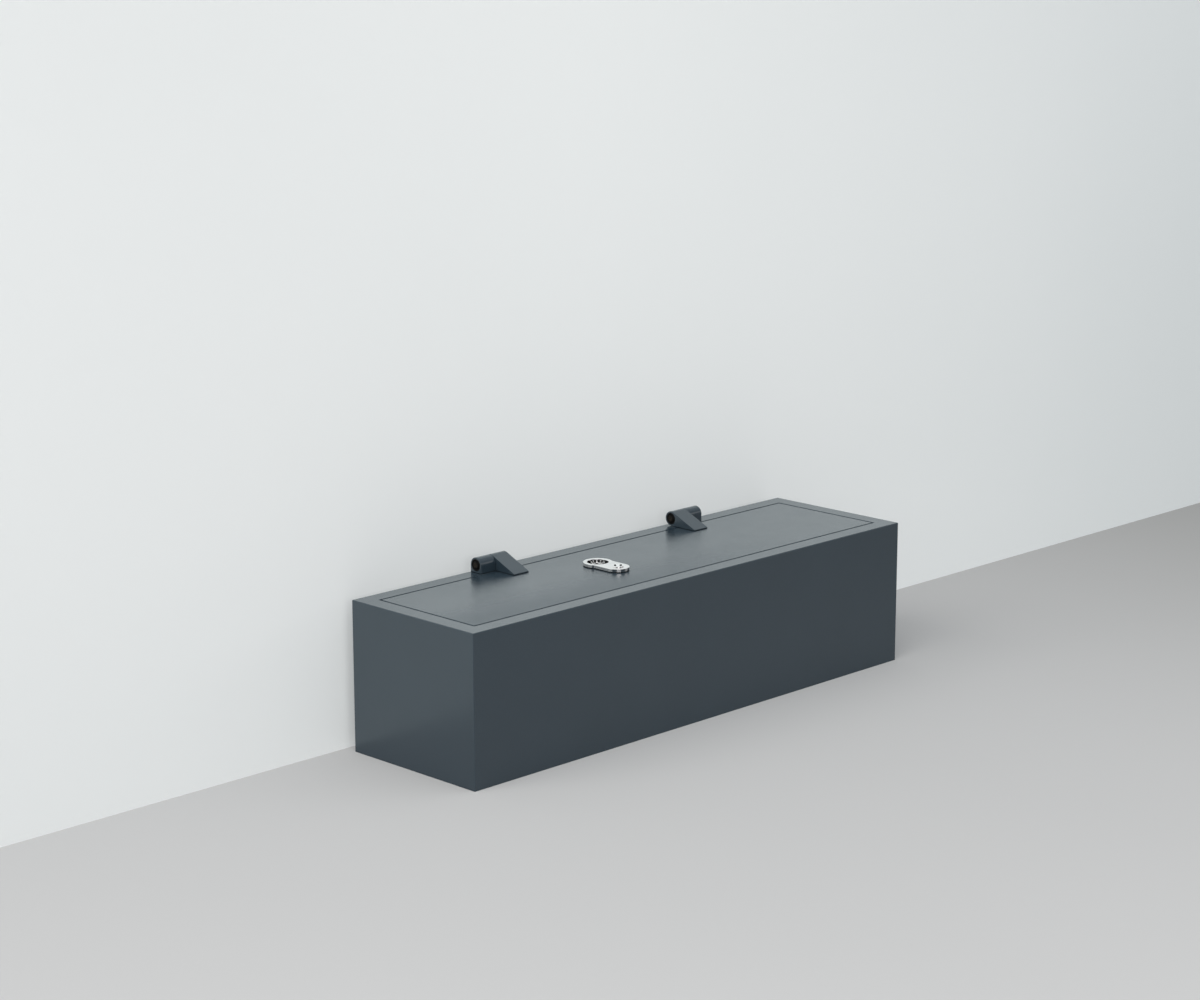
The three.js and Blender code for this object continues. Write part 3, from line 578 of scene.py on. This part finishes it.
def make_hinge_leaf(name, outline, low, high, bevel, mouths, body, node):
    """A knuckle or strap from its outline across the hinge.

    It is painted near black in the bore, in a ring round the pin's outer end and in a band along its foot, as
    painted shade in the bore's mouth and at the joint.
    """
    bore = circle(PIVOT_Y, PIVOT_Z, BORE_RADIUS, 56)
    lands = [PIN_LAND - MOUTH_RADIUS if mouth == MOUTH_DEPTH else 0 for mouth in mouths]
    outer_end = low if lands[0] else high

    # Painted shade: the faces picked here are painted near black as shade in the bore's mouth, round the
    # pin's end and along the foot
    def in_painted_shade(centre):
        shade_to = PIN_LAND if abs(centre.x - outer_end) < 0.01 else MOUTH_RADIUS
        on_foot = centre.z < HEIGHT + FOOT_SHADE_HEIGHT and (body == "chest" or centre.y < LID_HALF_Y)
        return on_foot or from_pin_axis(centre) < shade_to - 0.02

    leaf = mesh_object(name, prism(outline, low, high, "X", bevel, [(bore, *mouths, *lands)], 4))
    split_at(leaf, HEIGHT + FOOT_SHADE_HEIGHT)
    finish_piece(leaf, body, COAT, [node], second=(OILED_AND_SHADE, in_painted_shade))


def make_hinges():
    for side, name in ((-1, "left"), (1, "right")):
        low, high = box_mm("hinge_knuckle_" + name)
        knuckle = (arc(PIVOT_Y, PIVOT_Z, KNUCKLE_RADIUS, 0, math.pi, 40)
                   + [(PIVOT_Y - KNUCKLE_RADIUS, HEIGHT), (PIVOT_Y + KNUCKLE_RADIUS, HEIGHT)])
        mouths = (MOUTH_DEPTH, 0.3) if side < 0 else (0.3, MOUTH_DEPTH)
        make_hinge_leaf("knuckle_" + name, knuckle, low[0], high[0], 0.9, mouths, "chest",
                        "hinge_knuckle_" + name)

        low, high = box_mm("hinge_strap_" + name)
        tip_y = PIVOT_Y - STRAP_REACH
        rise = PIVOT_Z - HEIGHT - STRAP_TIP
        slope = math.atan2(rise, STRAP_REACH) + math.asin(KNUCKLE_RADIUS / math.hypot(STRAP_REACH, rise))
        strap = ([(tip_y, HEIGHT), (LID_HALF_Y, HEIGHT), (LID_HALF_Y, HEIGHT + KNUCKLE_LIFT)]
                 + arc(PIVOT_Y, PIVOT_Z, KNUCKLE_RADIUS, -math.pi / 2, slope + math.pi / 2, 56)
                 + [(tip_y, HEIGHT + STRAP_TIP)])
        make_hinge_leaf("strap_" + name, strap, low[0], high[0], 0.7, mouths[::-1], "lid",
                        "hinge_strap_" + name)

        low, high = box_mm("hinge_pin_" + name)
        tip = PIN_RADIUS - PIN_CHAMFER
        # Radius and depth from the end's face, from the centre mark out to the chamfer
        ends = [(0, 0.5), (1.2, 0.5), (1.9, 0), (PIN_FACE, 0), (tip, 0.2), (PIN_RADIUS, PIN_CHAMFER)]
        profile = soften([(radius, low[0] + deep) for radius, deep in ends]
                         + [(radius, high[0] - deep) for radius, deep in ends[::-1]],
                         [0, 0, 0.2, 0, 0.5, 0.8, 0.8, 0.5, 0, 0.2, 0, 0], 4, closed=False)
        # The pin's end is bare brown steel in its middle; its chamfered rim and side are painted near black,
        # partly as painted shade in the bore's mouth
        finish_piece(mesh_object("pin_" + name, turned(profile, "X", (PIVOT_Y, PIVOT_Z), 56)),
                     "chest", PIN, ["hinge_pin_" + name], second=(OILED_AND_SHADE, on_pin_side))


# Lid

def make_lid():
    outline = rounded_box(-LID_HALF_X, LID_HALF_X, -LID_HALF_Y, LID_HALF_Y, LID_CORNER)
    holes = [(circle(LOCK_X, LOCK_Y, PLATE_HOLE, 64), 0.2, 0.2),
             (circle(LOCK_X, CAP_Y, CAP_BORE, 32), 0.2, 0.2)]
    finish_piece(mesh_object("lid_panel", prism(outline, PLATE_BOTTOM, HEIGHT, "Z", 0.6, holes)),
                 "lid", LID_COAT, ["lid_plate"])


def rail_profile(face, inward):
    """Cross section of a folded rail: how far from the face, and how high."""
    raw = [(face, PLATE_BOTTOM), (face, RAIL_BOTTOM), (face + inward * RAIL_FLANGE, RAIL_BOTTOM),
           (face + inward * RAIL_FLANGE, RAIL_BOTTOM + RAIL_SHEET),
           (face + inward * RAIL_SHEET, RAIL_BOTTOM + RAIL_SHEET), (face + inward * RAIL_SHEET, PLATE_BOTTOM)]
    return soften(raw, [0, RAIL_SHEET + RAIL_BEND, 0.3, 0.3, RAIL_BEND, 0], 8)


def make_rails():
    (x0, y0, _), (x1, _, _) = box_mm("lid_rail_front")
    rear = box_mm("lid_rail_rear")[1][1]
    for name, face, inward in (("front", y0, 1), ("rear", rear, -1)):
        rail = mesh_object("rail_" + name, prism(rail_profile(face, inward), x0, x1, "X", 0.0))
        tools = [drill(SCREW_HOLE, RAIL_BOTTOM - PAST, RAIL_BOTTOM + RAIL_SHEET + PAST, "Z",
                       middle_mm(f"cover_screw_{name}_{side}")[:2], 32) for side in ("left", "right")]
        if name == "front":
            tools += [drill(BOLT_HOLE, y0 - PAST, y0 + RAIL_SHEET + PAST, "Y",
                            (middle_mm("bolt_" + place)[0], BOLT_AXIS), 64) for place in BOLT_PLACES]
        boolean(rail, tools)
        edge_round(rail, 0.25, 40)
        finish_piece(rail, "lid", INNER, ["lid_rail_" + name])
    bend = RAIL_SHEET + RAIL_BEND
    for name, side in (("left", -1), ("right", 1)):
        face = x0 if side < 0 else x1
        web = mesh_object("rail_" + name, prism(rail_profile(face, -side), y0 + bend, rear - bend, "Y", 0.25,
                                                steps=2))
        finish_piece(web, "lid", INNER, ["lid_rail_" + name])


def socket_screw(node, seat):
    """Pan head screw, head downwards, with a socket of six flutes."""
    head, rise, shank, count = 4.5, 2.2, 2.5, 48
    socket, flute, socket_depth = 1.75, 0.28, 1.5
    x, y, _ = middle_mm(node)
    end, face = box_mm(node)[1][2], seat - rise
    solid = Solid()
    outer = soften([(shank, end), (shank, seat), (head, seat), (head, face + 0.9), (head - 1.6, face),
                    (2.6, face)], [0, 0.1, 0.2, 0.6, 0.8, 0], 4, closed=False)
    rings = [solid.ring([(u, v, w) for u, v in circle(x, y, radius, count)]) for radius, w in outer]
    solid.wall(rings)
    solid.cap(rings[0])
    turns = [2 * math.pi * k / count for k in range(count)]
    star = [(socket + flute * math.cos(6 * turn), turn) for turn in turns]
    mouth = [solid.ring([(x + reach * math.cos(turn), y + reach * math.sin(turn), w) for reach, turn in star])
             for w in (face, face + socket_depth)]
    solid.wall([rings[-1], *mouth])
    solid.cap(mouth[-1])
    finish_piece(mesh_object(node + "_head", solid), "lid", ZINC, [node])


def make_cover():
    (x0, y0, z0), (x1, y1, z1) = box_mm("bolt_cover")
    holes = []
    for row in ("front", "rear"):
        for column in ("left", "right"):
            node = f"cover_screw_{row}_{column}"
            holes.append((circle(*middle_mm(node)[:2], SCREW_HOLE, 32), 0.1, 0.1))
            socket_screw(node, z0)
    finish_piece(mesh_object("cover_sheet", prism(rounded_box(x0, x1, y0, y1, 4), z0, z1, "Z", 0.3, holes)),
                 "lid", INNER, ["bolt_cover"])


def make_fixed_bolts():
    chamfer = 1.5
    for name in BOLT_PLACES:
        node = "fixed_bolt_" + name
        (_, y0, z0), (_, y1, z1) = box_mm(node)
        x, _, z = middle_mm(node)
        radius = (z1 - z0) / 2
        profile = soften([(0, y0), (radius, y0), (radius, y1 - chamfer), (radius - chamfer, y1), (0, y1)],
                         [0, 0.1, 0.6, 0.6, 0], 3, closed=False)
        finish_piece(mesh_object("stud_" + name, turned(profile, "Y", (x, z), 56)),
                     "lid", ZINC, [node])


# Lock

def plate_outline():
    front_y = LOCK_Y - PLATE_REACH + BODY_RADIUS
    meet = math.acos(BODY_RADIUS / HEAD_RADIUS)
    body = arc(LOCK_X, front_y, BODY_RADIUS, math.pi, 2 * math.pi, 48)
    head = arc(LOCK_X, LOCK_Y, HEAD_RADIUS, -meet, math.pi + meet, 72)
    return body + head


def cap_hole_places():
    """Middles of the two holes in the cap that hold the dowels."""
    return [(LOCK_X + reach * math.cos(CAP_TURN), CAP_Y + reach * math.sin(CAP_TURN))
            for reach in (-CAP_SPACING / 2, CAP_SPACING / 2)]


def in_cap_hole(centre):
    return centre.z < CAP_TOP - 0.05 and any(
        math.hypot(centre.x - x, centre.y - y) < CAP_HOLE + CAP_SINK for x, y in cap_hole_places())


def make_lock_plate():
    solid = Solid()
    outline = plate_outline()
    rings = [solid.ring([(x, y, w) for x, y in inset(outline, deep)])
             for deep, w in edge_steps(SEAL_TOP, PLATE_TOP, 0.25, 0.7, 4)]
    solid.wall(rings)
    hole = [solid.ring([(x, y, w) for x, y in circle(LOCK_X, LOCK_Y, PLATE_HOLE + deep, 96)])
            for deep, w in edge_steps(SEAL_TOP, PLATE_TOP, 0.2, HOLE_ROUND, 5)]
    solid.wall(hole)
    bore = [solid.ring([(x, y, w) for x, y in circle(LOCK_X, CAP_Y, CAP_BORE, 32)])
            for w in (SEAL_TOP, PLATE_TOP)]
    solid.wall(bore)
    solid.cap(rings[0], [hole[0], bore[0]])
    solid.cap(rings[-1], [hole[-1], bore[-1]])
    finish_piece(mesh_object("escutcheon", solid), "lid", CHROME, ["lock_plate"])

    seal = prism(inset(outline, SEAL_INSET), HEIGHT, SEAL_TOP, "Z", 0.15,
                 [(circle(LOCK_X, LOCK_Y, PLATE_HOLE, 96), 0.1, 0.1),
                  (circle(LOCK_X, CAP_Y, CAP_BORE, 32), 0.1, 0.1)], 2)
    finish_piece(mesh_object("seal_sheet", seal), "lid", RUBBER, ["plate_seal"])

    solid = Solid()
    profile = [(CAP_SHANK, CAP_BOTTOM), (CAP_SHANK, PLATE_TOP)]
    profile += [(CAP_RADIUS - d, w) for d, w in edge_steps(PLATE_TOP, CAP_TOP, 0.15, CAP_EDGE, 6)]
    rings = [solid.ring([(x, y, w) for x, y in circle(LOCK_X, CAP_Y, radius, 72)]) for radius, w in profile]
    solid.wall(rings)
    solid.cap(rings[0])
    mouths = []
    hole_bottom = CAP_TOP - CAP_HOLE_DEPTH
    for x, y in cap_hole_places():
        hole = [solid.ring([(u, v, w) for u, v in circle(x, y, radius, 28)])
                for radius, w in ((CAP_HOLE + CAP_SINK, CAP_TOP), (CAP_HOLE, CAP_TOP - CAP_SINK),
                                  (CAP_HOLE, hole_bottom))]
        solid.wall(hole)
        solid.cap(hole[-1])
        mouths.append(hole[0])
    solid.cap(rings[-1], mouths)
    # The holes' walls and floors are painted near black, as painted shade inside the holes
    finish_piece(mesh_object("plate_cap", solid), "lid", SATIN, ["fixing_cap"],
                 second=(OILED_AND_SHADE, in_cap_hole))
    for side, place in zip(("left", "right"), cap_hole_places()):
        profile = soften([(0, hole_bottom + 0.1), (DOWEL_RADIUS, hole_bottom + 0.1),
                          (DOWEL_RADIUS, DOWEL_TOP), (0, DOWEL_TOP)], [0, 0.2, 0.3, 0], 4, closed=False)
        dowel = mesh_object("cap_dowel_" + side, turned(profile, "Z", place, 32))
        finish_piece(dowel, "lid", OILED_AND_SHADE)


def in_keyway(centre):
    across = math.hypot(centre.x - LOCK_X, centre.y - LOCK_Y)
    return across < ROTOR_RADIUS - 0.05 and ROTOR_TOP - KEYWAY_DEPTH - 0.1 < centre.z < ROTOR_TOP - 0.2


def below_teeth(centre):
    return centre.z < COLLAR_TOP - COLLAR_TOOTH + 0.1


def on_boss(centre):
    return centre.z > PLATE_BOTTOM + 0.1


def make_rotor():
    chamfer = 0.4
    profile = soften([(SPINDLE_RADIUS, box_mm("key_rotor")[0][2]), (SPINDLE_RADIUS, ROTOR_SHOULDER),
                      (ROTOR_RADIUS, ROTOR_SHOULDER), (ROTOR_RADIUS, ROTOR_TOP - chamfer),
                      (ROTOR_RADIUS - chamfer, ROTOR_TOP)], [0, 0.2, 0.2, 0.2, 0.2], 3, closed=False)
    solid = Solid()
    rings = [solid.ring([(x, y, w) for x, y in circle(LOCK_X, LOCK_Y, radius, 80)]) for radius, w in profile]
    solid.wall(rings)
    solid.cap(rings[0])
    half, reach = KEYWAY_WIDTH / 2, KEYWAY_LENGTH / 2
    start = math.asin(math.sqrt(KEY_SHANK ** 2 - half ** 2) / KEY_SHANK)
    right = arc(0, 0, KEY_SHANK, -start, start, 14)
    left = arc(0, 0, KEY_SHANK, math.pi - start, math.pi + start, 14)
    keyway = [(half, -reach)] + right + [(half, reach), (-half, reach)] + left + [(-half, -reach)]
    corners = [0.4 if abs(abs(y) - reach) < 0.01 else 0 for _, y in keyway]
    keyway = [(LOCK_X + x, LOCK_Y + y) for x, y in soften(keyway, corners, 3)]
    way = [solid.ring([(x, y, w) for x, y in inset(keyway, -deep)])
           for deep, w in ((0.3, ROTOR_TOP), (0.09, ROTOR_TOP - 0.09), (0, ROTOR_TOP - 0.3),
                           (0, ROTOR_TOP - KEYWAY_DEPTH))]
    solid.wall(way)
    solid.cap(way[-1])
    solid.cap(rings[-1], [way[0]])
    # The keyway's walls and floor are painted near black, as painted shade in the slot
    finish_piece(mesh_object("rotor", solid), "key_rotor", BRIGHT, ["key_rotor"],
                 second=(OILED_AND_SHADE, in_keyway))

    low, inside = box_mm("rotor_collar")[0][2], ROTOR_RADIUS + 0.1
    ring = soften([(inside, low), (COLLAR_RADIUS, low), (COLLAR_RADIUS, COLLAR_TOP), (inside, COLLAR_TOP)],
                  [0.1, 0.2, 0.3, 0.3], 3)
    collar = mesh_object("notched_collar", turned(ring, "Z", (LOCK_X, LOCK_Y), 120, closed=True))
    tools = []
    reach, half = COLLAR_RADIUS + PAST, COLLAR_NOTCH / 2
    for k in range(COLLAR_TEETH // 2):
        bar = prism([(-reach, -half), (reach, -half), (reach, half), (-reach, half)],
                    COLLAR_TOP - COLLAR_TOOTH, COLLAR_TOP + PAST, "Z", 0)
        turn = k * 2 * math.pi / COLLAR_TEETH
        bar.points = [(LOCK_X + x * math.cos(turn) - y * math.sin(turn),
                       LOCK_Y + x * math.sin(turn) + y * math.cos(turn), z) for x, y, z in bar.points]
        tools.append(mesh_object("tool", bar))
    boolean(collar, tools)
    edge_round(collar, 0.12, 40)
    # Below the teeth the collar is painted near black, as painted shade in the notches
    split_at(collar, COLLAR_TOP - COLLAR_TOOTH)
    finish_piece(collar, "key_rotor", BRIGHT, ["rotor_collar"], second=(OILED_AND_SHADE, below_teeth))


def make_lock_case():
    screw_inset = 6.0
    (x0, y0, z0), (x1, y1, _) = box_mm("lock_case")
    case = mesh_object("lock_body", prism(rounded_box(x0, x1, y0, y1, 4), z0, PLATE_BOTTOM, "Z", 0.0))
    profile = soften([(0, PLATE_BOTTOM - 2), (BOSS_RADIUS, PLATE_BOTTOM - 2), (BOSS_RADIUS, BOSS_TOP),
                      (0, BOSS_TOP)], [0, 0, 0.5, 0], 4, closed=False)
    boss = mesh_object("boss", turned(profile, "Z", (LOCK_X, LOCK_Y), 96))
    boolean(case, [boss], "UNION")
    (left, _, _), (_, rear, _) = box_mm("rack_bar")
    left, rear, front = left - CLEARANCE, rear + CLEARANCE, y0 - PAST
    rack_way = prism([(left, front), (LOCK_X, front), (LOCK_X, rear), (left, rear)],
                     z0 - PAST, ROTOR_SHOULDER, "Z", 0)
    tools = [drill(CASE_BORE, z0 - PAST, BOSS_TOP + PAST, "Z", (LOCK_X, LOCK_Y), 80),
             mesh_object("tool", rack_way)]
    tools += [drill(SCREW_HOLE, z0 - PAST, PLATE_BOTTOM + PAST, "Z", (x, y), 32)
              for x in (x0 + screw_inset, x1 - screw_inset) for y in (y0 + screw_inset, y1 - screw_inset)]
    boolean(case, tools)
    edge_round(case, 0.25, 50)
    # The boss above the lid plate's underside, seen down through the plate's hole, is painted near black as
    # painted shade at the bottom of the recess
    finish_piece(case, "lid", CAST, ["lock_case"], second=(OILED_AND_SHADE, on_boss))


# Bolts

def make_bolts():
    """Round bolts with a flat behind, on which the bolt bar is screwed."""
    chamfer = 2.0
    seat = box_mm("bolt_bar")[0][1] - CLEARANCE
    for name in BOLT_PLACES:
        node = "bolt_" + name
        (_, y0, _), (_, y1, _) = box_mm(node)
        x = middle_mm(node)[0]
        profile = soften([(0, y0), (BOLT_RADIUS - chamfer, y0), (BOLT_RADIUS, y0 + chamfer),
                          (BOLT_RADIUS, y1), (0, y1)], [0, 0.8, 0.8, 0.2, 0], 4, closed=False)
        bolt = mesh_object("throw_" + name, turned(profile, "Y", (x, BOLT_AXIS), 64))
        left, right, rear = x - BOLT_RADIUS - PAST, x + BOLT_RADIUS + PAST, y1 + PAST
        flat = prism([(left, seat), (right, seat), (right, rear), (left, rear)],
                     BOLT_AXIS, BOLT_AXIS + BOLT_RADIUS + PAST, "Z", 0)
        boolean(bolt, [mesh_object("tool", flat),
                       drill(SCREW_HOLE, BOLT_AXIS - BOLT_SCREW_DEPTH, BOLT_AXIS + PAST, "Z",
                             (x, middle_mm("bar_screw_" + name)[1]), 32)])
        edge_round(bolt, 0.2, 40)
        finish_piece(bolt, "boltwork", ZINC, [node])


# Finishes of the nodes that stay

KEPT = {
    "floor_plate": INNER, "floor_mat": RUBBER, "cap_nut": ZINC, "lock_cover": ZINC, "bolt_bar": ZINC,
    "rack_bar": ZINC, "drive_pinion": ZINC, "guide_stud_left": ZINC, "guide_stud_right": ZINC,
}


def finish_kept():
    for name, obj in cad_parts.items():
        finish = KEPT.get(name) or (ZINC if "screw" in name else None)
        if finish:
            for slot in obj.material_slots:
                slot.material = finish
            if not obj.material_slots:
                obj.data.materials.append(finish)


# Stage, lights, camera

WALL_Y, WALL_TOP, STAGE_HALF = 0.1625, 9.0, 12.0


def stage_piece(name, corners, nodes):
    """One flat sheet of the stage; the corners are in metres."""
    sheet = Solid()
    sheet.faces.append(tuple(sheet.ring([[c / MM for c in corner] for corner in corners])))
    obj = mesh_object(name, sheet)
    obj.data.materials.append(nodes.material)
    return obj


def make_floor():
    n = Nodes("floor_paint").set(Roughness=0.9, Specular_IOR_Level=0.1)
    grain = n.blend(n.patches(1.1, 3), (0.625, 0.616, 0.607), (0.615, 0.607, 0.598))
    # The floor is painted darker towards +X, as painted shade where the lamps' light falls off
    n.colour(n.blend(n.along("X", 0.2, 3.0, 0.0, 1.0), grain, (0.36, 0.355, 0.34)))
    half = STAGE_HALF
    stage_piece("floor", [(-half, -half, 0), (half, -half, 0), (half, half, 0), (-half, half, 0)], n)


def make_wall():
    """Backdrop close behind the chest. It is lit a little and glows a little, and is clear from behind.

    Mirror-like surfaces see it brighter than the camera does, most of all a little above the lid.
    """
    n = Nodes("wall_paint").set(Roughness=0.9, Specular_IOR_Level=0.1)
    path = n.node("LightPath")
    glossy = path.outputs["Is Glossy Ray"]
    lit = n.blend(n.patches(1.1, 3), (0.61, 0.617, 0.617), (0.59, 0.6, 0.6))
    n.colour(n.blend(glossy, lit, (0.375, 0.38, 0.38)))
    # The glow is painted in gradients along X and Z, as a painted falloff of light across the backdrop;
    # glossy rays see it as a painted reflection, brightest a little above the lid and brighter to the left
    tone = n.blend(n.along("X", -0.2, 3.2, 0.0, 1.0), (0.47, 0.484, 0.478), (0.285, 0.32, 0.33))
    mirrored = n.blend(1.0, tone, (0.98, 1.035, 1.055), "MULTIPLY")
    light = n.node("Emission")
    n.link(n.blend(glossy, tone, mirrored), light.inputs["Color"])
    seen = n.maths("MULTIPLY", n.along("Z", -0.2, 1.2, 0.56, 0.66), n.along("X", -1.0, 0.3, 1.0, 1.15))
    seen = n.maths("MULTIPLY", seen, path.outputs["Is Camera Ray"])
    left = n.maths("MULTIPLY", n.along("X", -0.25, 0.45, 0.13, 0.0), n.along("Z", 0.26, 0.30, 0.0, 1.0))
    high = n.maths("MULTIPLY", n.along("Z", 0.2, 0.55, 1.28, 1.68), n.along("Z", 0.33, 0.42, 1.0, 1.05))
    high = n.maths("MULTIPLY", high, n.along("Z", 0.4, 0.58, 1.0, 0.72))
    shine = n.maths("MULTIPLY", high, n.maths("ADD", left, 1.0))
    n.link(n.maths("ADD", seen, n.maths("MULTIPLY", shine, glossy)), light.inputs["Strength"])
    both = n.node("AddShader")
    n.link(n.shader.outputs[0], both.inputs[0])
    n.link(light.outputs[0], both.inputs[1])
    pick = n.node("MixShader")
    n.link(n.node("NewGeometry").outputs["Backfacing"], pick.inputs[0])
    n.link(both.outputs[0], pick.inputs[1])
    n.link(n.node("BsdfTransparent").outputs[0], pick.inputs[2])
    n.link(pick.outputs[0], n.tree.nodes["Material Output"].inputs["Surface"])
    half, y, top = STAGE_HALF, WALL_Y, WALL_TOP
    wall = stage_piece("wall", [(-half, y, 0), (half, y, 0), (half, y, top), (-half, y, top)], n)
    if wall.data.polygons[0].normal.y > 0:
        wall.data.flip_normals()
    wall.visible_shadow = False
    wall.visible_diffuse = False


def area_light(name, place, target, size, power, colour, glossy=True):
    data = bpy.data.lights.new(name, "AREA")
    data.shape = "RECTANGLE"
    data.size, data.size_y = size
    data.energy = power
    data.color = colour
    obj = bpy.data.objects.new(name, data)
    obj.location = place
    obj.rotation_euler = (Vector(target) - Vector(place)).to_track_quat("-Z", "Y").to_euler()
    obj.visible_camera = False
    obj.visible_glossy = glossy
    bpy.context.scene.collection.objects.link(obj)


def make_lights():
    """A sky dark low down in front, a soft box on the left, a fill from above, and two low strip boxes."""
    world = bpy.data.worlds.new("studio")
    world.use_nodes = True
    bpy.context.scene.world = world
    tree = world.node_tree
    sky = tree.nodes["Background"]
    sky.inputs["Color"].default_value = (0.91, 0.96, 1.0, 1.0)
    place = tree.nodes.new("ShaderNodeSeparateXYZ")
    tree.links.new(tree.nodes.new("ShaderNodeTexCoord").outputs["Generated"], place.inputs[0])

    def ramp(axis, start, stop, at_start, at_stop):
        made = tree.nodes.new("ShaderNodeMapRange")
        tree.links.new(place.outputs[axis], made.inputs["Value"])
        return set_range(made, start, stop, at_start, at_stop)

    def combine(operation, first, second):
        made = tree.nodes.new("ShaderNodeMath")
        made.operation = operation
        tree.links.new(first, made.inputs[0])
        tree.links.new(second, made.inputs[1])
        return made.outputs[0]

    open_part = combine("MAXIMUM", ramp("Z", 0.33, 0.6, 0.08, 1.0), ramp("Y", -0.06, 0.06, 0.08, 1.0))
    height = combine("MULTIPLY", ramp("Z", 0.0, 1.0, 0.34, 0.80), ramp("Y", -0.15, 0.15, 1.25, 0.5))
    tree.links.new(combine("MULTIPLY", open_part, height), sky.inputs["Strength"])
    area_light("key", place=(-6.5, -0.6, 4.4), target=(0, 0, 0.1), size=(9.0, 6.0), power=352,
               colour=(1.0, 0.99, 0.975), glossy=False)
    area_light("fill", place=(-1.5, -3.0, 6.0), target=(0, 0, 0.1), size=(4.0, 4.0), power=60,
               colour=(1.0, 1.0, 1.0), glossy=False)
    for name, heading, width, power in (("strip_left", 240, 2.6, 25), ("strip_right", 318, 2.3, 12.5)):
        turn = math.radians(heading)
        away = 4.0
        area_light(name, place=(away * math.cos(turn), away * math.sin(turn), 1.2), target=(0, 0, 0.2),
                   size=(width, 1.2), power=power, colour=(0.98, 0.99, 1.0))


CAMERA_PLACE = Vector((-3.2251, -3.1144, 1.3772))
CAMERA_HEADING, CAMERA_DROP, CAMERA_ROLL = (math.radians(a) for a in (45.166, 12.946, -0.0674))
CAMERA_LENS, CAMERA_SENSOR = 84.448, 36


def make_camera():
    """The camera's heading is from +Y towards +X, and its drop is below the level."""
    data = bpy.data.cameras.new("camera")
    data.lens = CAMERA_LENS
    data.sensor_width = CAMERA_SENSOR
    data.clip_end = 100
    obj = bpy.data.objects.new("camera", data)
    level = Matrix.Rotation(-CAMERA_HEADING, 4, "Z") @ Matrix.Rotation(math.pi / 2 - CAMERA_DROP, 4, "X")
    obj.matrix_world = Matrix.Translation(CAMERA_PLACE) @ level @ Matrix.Rotation(CAMERA_ROLL, 4, "Z")
    bpy.context.scene.collection.objects.link(obj)
    bpy.context.scene.camera = obj


make_camera()
make_lights()
make_floor()
make_wall()
make_shell()
make_ledges()
make_plugs()
make_hinges()
make_lid()
make_rails()
make_cover()
make_fixed_bolts()
make_lock_plate()
make_rotor()
make_lock_case()
make_bolts()
finish_kept()

bpy.context.scene.view_settings.view_transform = "Standard"
